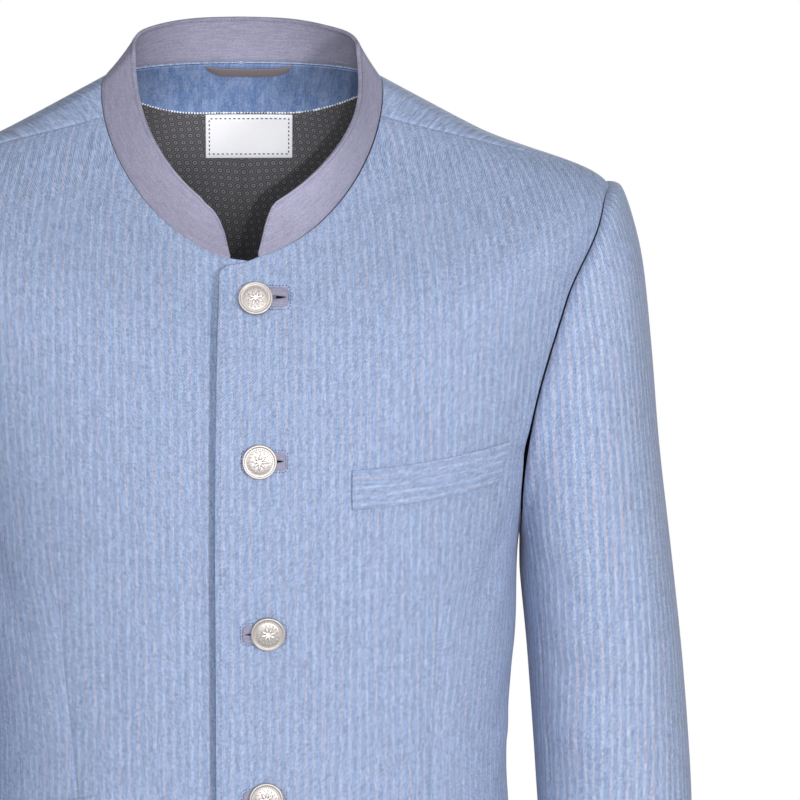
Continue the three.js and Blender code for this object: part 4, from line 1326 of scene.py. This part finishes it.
def loop_piece():
    t, s = np.meshgrid(np.linspace(-1, 1, 49), np.linspace(0, 1, 8))
    free = 1 - t * t
    width = LOOP_WIDTH * (1 - (1 - np.clip((1 - np.abs(t)) / LOOP_END, 0, 1)) ** 2) ** 0.5
    rows = FACING_TOP - (LOOP_SAG * free + s * np.maximum(width, 0.5)) / ROW_LENGTH
    xs = LABEL_X + LOOP_LENGTH / 2 * t
    depth = FACING_FACE + 0.5 + 1.5 * smooth(free * 1.6) + 0.3 * np.sin(math.pi * s)
    outer, normal = laid_inside(rows, xs, depth)
    along = s * LOOP_WIDTH
    return cloth_sheet("hanger_loop_tape", outer - normal, outer, xs, along, (LOOP_TAPE,), edge=0.25)


label, LABEL_FACE, LABEL_NORMAL = label_piece()
loop = loop_piece()
print(label.name, loop.name)

# %% [markdown]
# ## Welt and flaps
# The chest pocket shows only its welt: a strip laid slantwise with its stripes running along it. The hip
# pockets show only flaps with round corners. Each lies on a front, so its points come from the front's own
# form, moved out.

# %% Pockets
LAID_GAP = 0.45
WELT_WALL = 1.4
# corners as row and column of the front: top front, top back, bottom front, bottom back
WELT = [(6.0, 6.37), (5.91, 11.53), (5.55, 6.37), (5.55, 11.23)]
FLAP_ROUND = 14
FLAP_GRAIN_START = 40
FLAPS = {
    1: [(2.87, 7.2), (2.54, 12.3), (2.37, 7.25), (2.04, 12.35)],
    -1: [(2.93, 7.2), (2.6, 12.3), (2.43, 7.25), (2.1, 12.35)],
}


def on_front(side, row, column, out):
    angle = front_angle(side, row, column)
    points, normal = front_base(side, row, angle)
    rise = relief(FRONT_FOLDS, BODY_RADIAN * angle, points[..., 2]) + out
    return points + normal * rise[..., None], normal


def laid_piece(name, side, corners, round_corner):
    """A strip between four corners: a flap with round corners, else a welt with its grain sideways"""
    t, s = np.meshgrid(np.linspace(0, 1, 72), np.linspace(0, 1, 22))
    top0, top1, low0, low1 = [np.array(c) for c in corners]
    low = low0 + (low1 - low0) * t[..., None]
    high = top0 + (top1 - top0) * t[..., None]
    trial = on_front(side, *np.moveaxis(low + (high - low) * s[..., None], -1, 0), 0)[0]
    length = run_length(trial)
    drop = run_length(trial, 0)
    across, along = drop, length
    if round_corner:
        across, along = length + FLAP_GRAIN_START, drop
        near = np.minimum(length[:1], length[:1, -1:] - length[:1]) / round_corner
        lift = 1 - np.sqrt(1 - (1 - np.clip(near, 0, 1)) ** 2)
        start = lift * round_corner / drop[-1:]
        s = start + (1 - start) * s
    place = low + (high - low) * s[..., None]
    base, normal = on_front(side, place[..., 0], place[..., 1], LAID_GAP)
    puff = 0.25 * smooth(np.minimum(drop, drop[-1:] - drop) / 5)
    outer = base + normal * (WELT_WALL + puff)[..., None]
    return cloth_sheet(name, outer, base, across, along, (BODY_CLOTH,), side, edge=0.5)


welt = laid_piece("chest_welt_cloth", 1, WELT, 0)
flaps = [laid_piece(f"hip_flap_{word}_cloth", side, FLAPS[side], FLAP_ROUND) for word, side in PAIR]
print(welt.name, [piece.name for piece in flaps])

# %% [markdown]
# ## Bound buttonholes
# A tailor cuts a window in the front and sets two lips of the collar's cloth in it, which meet in a slit.
# The window is cut with a boolean, as scissors would. The lips are one ring whose cross-section is a soft
# roll, laid on the front by casting rays onto it. Buttons pull on them, so each has a place of its own.

# %% Windows and lips
# x and z of the button's middle, x and z of the buttonhole's middle: the shank hangs low in the slit
BUTTONS = [
    (6.8, -124.3, 14.2, -122.1),
    (8.7, -222.6, 11.8, -221.4),
    (13.6, -332.3, 10.8, -331.8),
    (12.2, -440.4, 10.8, -439.9),
    (11.0, -547.0, 10.8, -546.5),
]
HOLE_LENGTH = 26.0
HOLE_HEIGHT = 11.5
SLIT_LENGTH = 23.5
SLIT_HEIGHT = 2.6
CUT_DEPTH = 16
# how square the corners of window and slit are: 2 is an ellipse
HOLE_SQUARE = 7
SLIT_SQUARE = 1.5
# the lips' cross-section: share of the way in from the window's edge, and height above the front
LIPS_SECTION = [
    (0, 0.25), (0.0, 0.75), (0.05, 0.95), (0.25, 1.15), (0.55, 1.3), (0.8, 1.25),
    (0.95, 1.0), (1.0, 0.6), (1.0, 0.0), (0.9, -1.2), (0.5, -1.2), (0.5, 0.25),
]


# the left front's faces as they are before it is cut, for rays
FRONT_TREE = BVHTree.FromObject(FRONTS[1][0], bpy.context.evaluated_depsgraph_get())
LEVEL_REACH = 7


def cast(x, z):
    """Where a line from straight ahead meets the left front, in millimetres"""
    place, _, _, _ = FRONT_TREE.ray_cast(Vector((x * MM, -0.4, z * MM)), Vector((0, 1, 0)))
    return np.array(place) / MM


def flat_normal(x, z):
    """Direction square to the front, levelled over the width of a button"""
    right = cast(x + LEVEL_REACH, z) - cast(x - LEVEL_REACH, z)
    upward = cast(x, z + LEVEL_REACH) - cast(x, z - LEVEL_REACH)
    return unit(np.cross(right, upward))


def facing_out(place, normal):
    """The move that brings a thing that faces up to a place in millimetres, facing along a normal"""
    turn = Vector(normal).to_track_quat("Z", "Y").to_matrix().to_4x4()
    return Matrix.Translation(Vector(place) * MM) @ turn


def rounded(length, height, square, t):
    x = length / 2 * np.sign(np.cos(t)) * np.abs(np.cos(t)) ** (2 / square)
    z = height / 2 * np.sign(np.sin(t)) * np.abs(np.sin(t)) ** (2 / square)
    return x, z


def lips_piece(number, hole_x, z):
    t = np.linspace(0, TURN, 96, endpoint=False)
    outside = np.stack(rounded(HOLE_LENGTH, HOLE_HEIGHT, HOLE_SQUARE, t), 1)
    slit = np.stack(rounded(SLIT_LENGTH, SLIT_HEIGHT, SLIT_SQUARE, t), 1)
    normal = flat_normal(hole_x, z)
    places = np.concatenate([outside + (slit - outside) * share for share, _ in LIPS_SECTION])
    heights = np.repeat([out for _, out in LIPS_SECTION], len(t))
    points = np.array([cast(hole_x + dx, z + dz) for dx, dz in places])
    rings = len(LIPS_SECTION)
    i, k = np.meshgrid(np.arange(rings), np.arange(len(t)), indexing="ij")
    here = i * len(t)
    inward = (i + 1) % rings * len(t)
    after = (k + 1) % len(t)
    faces = np.stack([here + k, here + after, inward + after, inward + k], -1).reshape(-1, 4).tolist()
    points = (points + normal * heights[:, None]) * MM
    piece = new_piece(f"buttonhole_{number}_lips", points, faces, (COLLAR_CLOTH,), places * MM)
    finish_edges(piece, 0)
    face_outwards(piece)


def face_outwards(piece):
    take_up(piece)
    bpy.ops.object.mode_set(mode="EDIT")
    bpy.ops.mesh.select_all(action="SELECT")
    bpy.ops.mesh.normals_make_consistent(inside=False)
    bpy.ops.object.mode_set(mode="OBJECT")
    piece.select_set(False)


def cut_windows(piece):
    """Cuts a window behind each pair of lips, a little smaller than they are"""
    cutters = []
    for _, _, hole_x, z in BUTTONS:
        bpy.ops.mesh.primitive_cube_add(size=1, location=(0, 0, 0))
        cutter = bpy.context.object
        size = Matrix.Diagonal(((SLIT_LENGTH + 1) * MM, (SLIT_HEIGHT + 3) * MM, CUT_DEPTH * MM, 1))
        cutter.data.transform(facing_out(cast(hole_x, z), flat_normal(hole_x, z)) @ size)
        cutters.append(cutter)
    tool = joined(cutters)
    take_up(piece)
    windows = piece.modifiers.new("windows", "BOOLEAN")
    windows.operation = "DIFFERENCE"
    windows.solver = "FAST"
    windows.object = tool
    bpy.ops.object.modifier_apply(modifier=windows.name)
    bpy.data.objects.remove(tool)
    piece.select_set(False)


for number, (_, _, hole_x, z) in enumerate(BUTTONS, 1):
    lips_piece(number, hole_x, z)
cut_windows(FRONTS[1][0])
print("front after cutting:", len(FRONTS[1][0].data.polygons), "faces")

# %% [markdown]
# ## Buttons
# Trachten buttons are struck like coins, in old silver: a milled rim, a ring of beads, a ring of leaves and
# an edelweiss. The coin is a cylinder, stepped by insets. Beads, leaves and petals are small egg shapes set
# round it. Hollows are darker, with tarnish and painted shade, so every point stores how far it stands up,
# and the colour reads that.

# %% Button model
BUTTON_RADIUS = 10.75
BUTTON_STAND = 1.9
BUTTON_THICK = 2.2
BUTTON_SPIN = 0.35
SHANK_RADIUS = 1.5
SHANK_WIRE = 0.5
SHANK_DROP = 1.3
# inset and rise of each step of the coin's face, from the rim inwards
COIN_STEPS = [(0.35, 0.35), (0.85, 0), (0.35, -0.55), (1.7, 0), (0.4, 0.22), (3.2, 0.2)]


def step_in(inset, rise):
    """Insets the selected face and moves it up or down, in millimetres"""
    bpy.ops.mesh.inset(thickness=inset * MM)
    if rise:
        bpy.ops.transform.translate(value=(0, 0, rise * MM))


def pick_faces(mesh, wanted):
    """Selects the faces whose normal passes a test, in edit mode"""
    bpy.ops.mesh.select_all(action="DESELECT")
    bpy.ops.object.mode_set(mode="OBJECT")
    for face in mesh.polygons:
        face.select = bool(wanted(face.normal))
    bpy.ops.object.mode_set(mode="EDIT")


def coin():
    bpy.ops.object.select_all(action="DESELECT")
    depth = BUTTON_THICK * MM
    bpy.ops.mesh.primitive_cylinder_add(
        vertices=72, radius=BUTTON_RADIUS * MM, depth=depth, location=(0, 0, depth / 2),
        end_fill_type="NGON",
    )
    made = bpy.context.object
    bpy.ops.object.mode_set(mode="EDIT")
    bpy.ops.mesh.select_mode(type="FACE")
    pick_faces(made.data, lambda normal: normal.z > 0.9)
    for inset, rise in COIN_STEPS:
        step_in(inset, rise)
    pick_faces(made.data, lambda normal: normal.z < -0.9)
    step_in(1.6, 0.3)
    bpy.ops.object.mode_set(mode="OBJECT")
    bevelled(made, 0.16, 40)
    return made


def stone(size, place, spin=0.0, rings=6, segments=10):
    """A small egg shape: size along three ways, at a place, turned about the upright"""
    bpy.ops.mesh.primitive_uv_sphere_add(segments=segments, ring_count=rings, radius=1, location=(0, 0, 0))
    made = bpy.context.object
    grow = Matrix.Diagonal((size[0] * MM, size[1] * MM, size[2] * MM, 1))
    made.data.transform(Matrix.Rotation(spin, 4, "Z") @ Matrix.Translation(Vector(place) * MM) @ grow)
    return made


def shank():
    bpy.ops.mesh.primitive_torus_add(
        major_radius=SHANK_RADIUS * MM, minor_radius=SHANK_WIRE * MM,
        major_segments=20, minor_segments=8, location=(0, 0, 0),
    )
    made = bpy.context.object
    made.data.transform(Matrix.Translation((0, 0, -SHANK_DROP * MM)) @ Matrix.Rotation(QUARTER, 4, "X"))
    return made


def wreath(count, size, place, rings, segments, start=0.0):
    """Stones evenly round the button's middle"""
    return [stone(size, place, k * TURN / count + start, rings, segments) for k in range(count)]


def leaves(count, face):
    made = [stone((1.15, 0.5, 0.5), (0, 0, 0), 0.7, 6, 10) for _ in range(count)]
    for k, leaf in enumerate(made):
        out = Matrix.Translation(Vector((6.2, 0, face)) * MM)
        leaf.data.transform(Matrix.Rotation(k * TURN / count, 4, "Z") @ out)
    return made


def petal(k, face):
    """A petal with a rib along it, every other one shorter"""
    length = 2.4 if k % 2 else 2.1
    turn = k * TURN / 8
    return [
        stone((length, 0.95, 0.7), (2.9, 0, face + 0.3), turn, 8, 14),
        stone((length * 0.8, 0.16, 0.3), (2.9, 0, face + 0.88), turn, 4, 8),
    ]


def button_model():
    face = BUTTON_THICK - 0.1
    parts = [coin(), shank()]
    parts += wreath(40, (0.55, 0.45, 0.42), (7.95, 0, face), 6, 8)
    parts += wreath(60, (0.62, 0.3, 0.26), (BUTTON_RADIUS - 0.85, 0, face + 0.36), 4, 6)
    parts += leaves(16, face)
    for k in range(8):
        parts += petal(k, face)
    parts += wreath(6, (0.62, 0.62, 0.55), (1.15, 0, face + 0.95), 6, 10, 0.2)
    parts.append(stone((0.7, 0.7, 0.6), (0, 0, face + 1.0)))
    made = joined(parts)
    bpy.ops.object.shade_smooth_by_angle(angle=math.radians(40))
    made.data.materials.clear()
    made.data.materials.append(OLD_SILVER)
    # How far each point stands up: in the colour the hollows get tarnish and painted shade.
    heights = np.array([v.co.z for v in made.data.vertices]) / MM
    wear_and_shade = made.data.attributes.new("wear_and_shade", "FLOAT", "POINT")
    share = np.clip((heights - (BUTTON_THICK - 0.35)) / 0.55, 0, 1)
    wear_and_shade.data.foreach_set("value", share.astype(np.float32))
    return made


def place_buttons():
    model = button_model()
    for number, (x, z, _, _) in enumerate(BUTTONS, 1):
        piece = model.copy()
        piece.data = model.data.copy()
        piece.name = f"button_{number}_silver"
        bpy.context.scene.collection.objects.link(piece)
        normal = flat_normal(x, z)
        spin = Matrix.Rotation(BUTTON_SPIN * number, 4, "Z")
        piece.data.transform(facing_out(cast(x, z) + normal * BUTTON_STAND, normal) @ spin)
        PIECES[piece.name] = piece
    print("button has", len(model.data.polygons), "faces")
    bpy.data.objects.remove(model)


place_buttons()

# %% [markdown]
# ## Sewing
# Stitches are real little cords of thread on a garment seen this close. One stitch is a stretched ball with
# few faces. It is copied along a line and the copies are one mesh, so hundreds cost little. The same works
# for the small silver beads along the facing's lower edge.

# %% Stitches
def stitch_shape():
    bpy.ops.object.select_all(action="DESELECT")
    bpy.ops.mesh.primitive_uv_sphere_add(segments=6, ring_count=4, radius=0.5, location=(0, 0, 0))
    made = bpy.context.object
    points = np.array([v.co for v in made.data.vertices])
    faces = [tuple(face.vertices) for face in made.data.polygons]
    bpy.data.objects.remove(made)
    return points, faces


STITCH_POINTS, STITCH_FACES = stitch_shape()
HOLE_SEAM = 2.6
BEAD_SEED = 7


def sew(name, lines, period, length, thick, finish, uneven=0.0):
    """Stitches along lines of points and normals in millimetres"""
    rng = np.random.default_rng(BEAD_SEED)
    points = []
    faces = []
    for line, normals in lines:
        run = run_length(line[None])[0]
        for at in np.arange(period / 2, run[-1], period):
            jitter = 1 + uneven * rng.uniform(-1, 1, 3)
            ahead = read_line(min(run[-1], at + 0.3), run, line)
            behind = read_line(max(0, at - 0.3), run, line)
            up = unit(read_line(at, run, normals))
            forward = unit(ahead - behind)
            ways = np.stack([forward * length, np.cross(up, forward) * thick, up * thick]) * jitter[:, None]
            start = len(points) * len(STITCH_POINTS)
            points.append(read_line(at, run, line) + STITCH_POINTS @ ways)
            faces.extend(tuple(start + v for v in face) for face in STITCH_FACES)
    finish_edges(new_piece(name, np.concatenate(points) * MM, faces, (finish,)), 0)
    print(name, len(points), "stitches")


def collar_line(grid, back_off, out):
    """A line round the collar a little inside its top edge, on one face"""
    normal = COLLAR_NORMAL[-1] * out
    line = grid[-1] + unit(grid[-4] - grid[-1]) * back_off + normal * 0.1
    return line[4:-4], normal[4:-4]


def front_edge_line():
    """A line down the overlapping edge, a little inside it"""
    _, outer, normal = FRONTS[1]
    return outer[4:-6, 4] + normal[4:-6, 4] * 0.05, normal[4:-6, 4]


def hole_line(hole_x, z):
    t = np.linspace(0, TURN, 80)
    xs, zs = rounded(HOLE_LENGTH + HOLE_SEAM, HOLE_HEIGHT + HOLE_SEAM, HOLE_SQUARE, t)
    normal = flat_normal(hole_x, z)
    line = np.array([cast(hole_x + dx, z + dz) for dx, dz in zip(xs, zs)])
    return line + normal * 0.05, np.repeat(normal[None], len(t), 0)


def round_the_edge(grid):
    """The points once round a grid, one step in from its edge, from the top left to there again"""
    field = grid[1:-1, 1:-1]
    return np.concatenate([field[-1], field[-2::-1, -1], field[0, -2::-1], field[1:, 0]])


def label_line():
    normal = -round_the_edge(LABEL_NORMAL)
    return round_the_edge(LABEL_FACE) + normal * 0.1, normal


def facing_line():
    columns = np.linspace(0.5, CENTRE_BACK, 120)
    rows = facing_edge(columns) + 0.004
    line, normal = inside_back(rows, columns, FACING_FACE + 0.15)
    return [(mirrored(line, side), mirrored(-normal, side)) for side in (1, -1)]


sew("collar_stitches_outside", [collar_line(COLLAR_OUT, 2.0, 1)], 2.0, 1.3, 0.5, MAUVE_THREAD)
sew("collar_stitches_inside", [collar_line(COLLAR_IN, 2.0, -1)], 2.0, 1.3, 0.5, MAUVE_THREAD)
sew("front_edge_stitches", [front_edge_line()], 3.1, 1.1, 0.5, BLUE_THREAD)
sew("buttonhole_stitches", [hole_line(x, z) for _, _, x, z in BUTTONS], 2.0, 1.2, 0.62, DARK_THREAD)
sew("label_stitches", [label_line()], 3.0, 1.9, 0.95, DARK_THREAD)
sew("facing_beads", facing_line(), 1.9, 1.5, 1.35, SILVER_THREAD, 0.5)

# %% [markdown]
# ## What each piece stands for
# Every piece now rides on the jacket's one body and hides the plain solid that it stands for.
# Each sheet of cloth also states the size it was cut to.

# %% Ride, replace and measure
def shell_area(piece):
    """Half the surface of a closed sheet, in square metres"""
    areas = np.zeros(len(piece.data.polygons))
    piece.data.polygons.foreach_get("area", areas)
    return areas.sum() / 2


# piece, solid it stands for, finish, how it is held, what it rests on
SHEETS = [
    ("neck_facing_cloth", "neck_facing", "facing_cloth", "stretched",
     ["back_left_cloth", "back_right_cloth"]),
    ("collar_cloth", "collar", "collar_cloth", "stretched", ["front_left_cloth", "back_left_cloth"]),
    ("label_satin_piece", "label", "label_satin", "stretched",
     ["lining_left_satin", "lining_right_satin"]),
    ("hanger_loop_tape", "hanger_loop", "loop_tape", "hung", ["neck_facing_cloth"]),
    ("chest_welt_cloth", "chest_welt", "pocket_cloth", "stretched", ["front_left_cloth"]),
]
for word, _ in PAIR:
    front = f"front_{word}"
    back = f"back_{word}"
    top = f"top_sleeve_{word}"
    under = f"under_sleeve_{word}"
    SHEETS += [
        (f"{front}_cloth", front, "body_cloth", "hung", [f"{back}_cloth"]),
        (f"{back}_cloth", back, "body_cloth", "hung", [f"{front}_cloth"]),
        (f"{top}_cloth", top, "sleeve_cloth", "hung", [f"{front}_cloth"]),
        (f"{under}_cloth", under, "sleeve_cloth", "hung", [f"{top}_cloth"]),
        (f"lining_{word}_satin", f"lining_{word}", "lining_satin", "hung", ["neck_facing_cloth"]),
        (f"hip_flap_{word}_cloth", f"hip_flap_{word}", "pocket_cloth", "hung", [f"{front}_cloth"]),
    ]

# the hanger is folded tape, and no cut strip is narrower than this, in metres
MIN_CUT = 0.01

for piece in PIECES.values():
    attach(piece, "root")
for number in range(1, len(BUTTONS) + 1):
    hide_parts(f"button_{number}")
    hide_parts(f"buttonhole_{number}")
for name, node, slot, held, rests_on in SHEETS:
    piece = PIECES[name]
    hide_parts(node)
    width, length = [max(MIN_CUT, float(c)) for c in CUT_SIZES[name]]
    area = min(shell_area(piece), width * length)
    print(name, round(width, 3), round(length, 3), round(area, 4))

# %% Size
triangles = sum(sum(len(face.vertices) - 2 for face in piece.data.polygons) for piece in PIECES.values())
print("pieces:", len(PIECES), "triangles:", triangles)
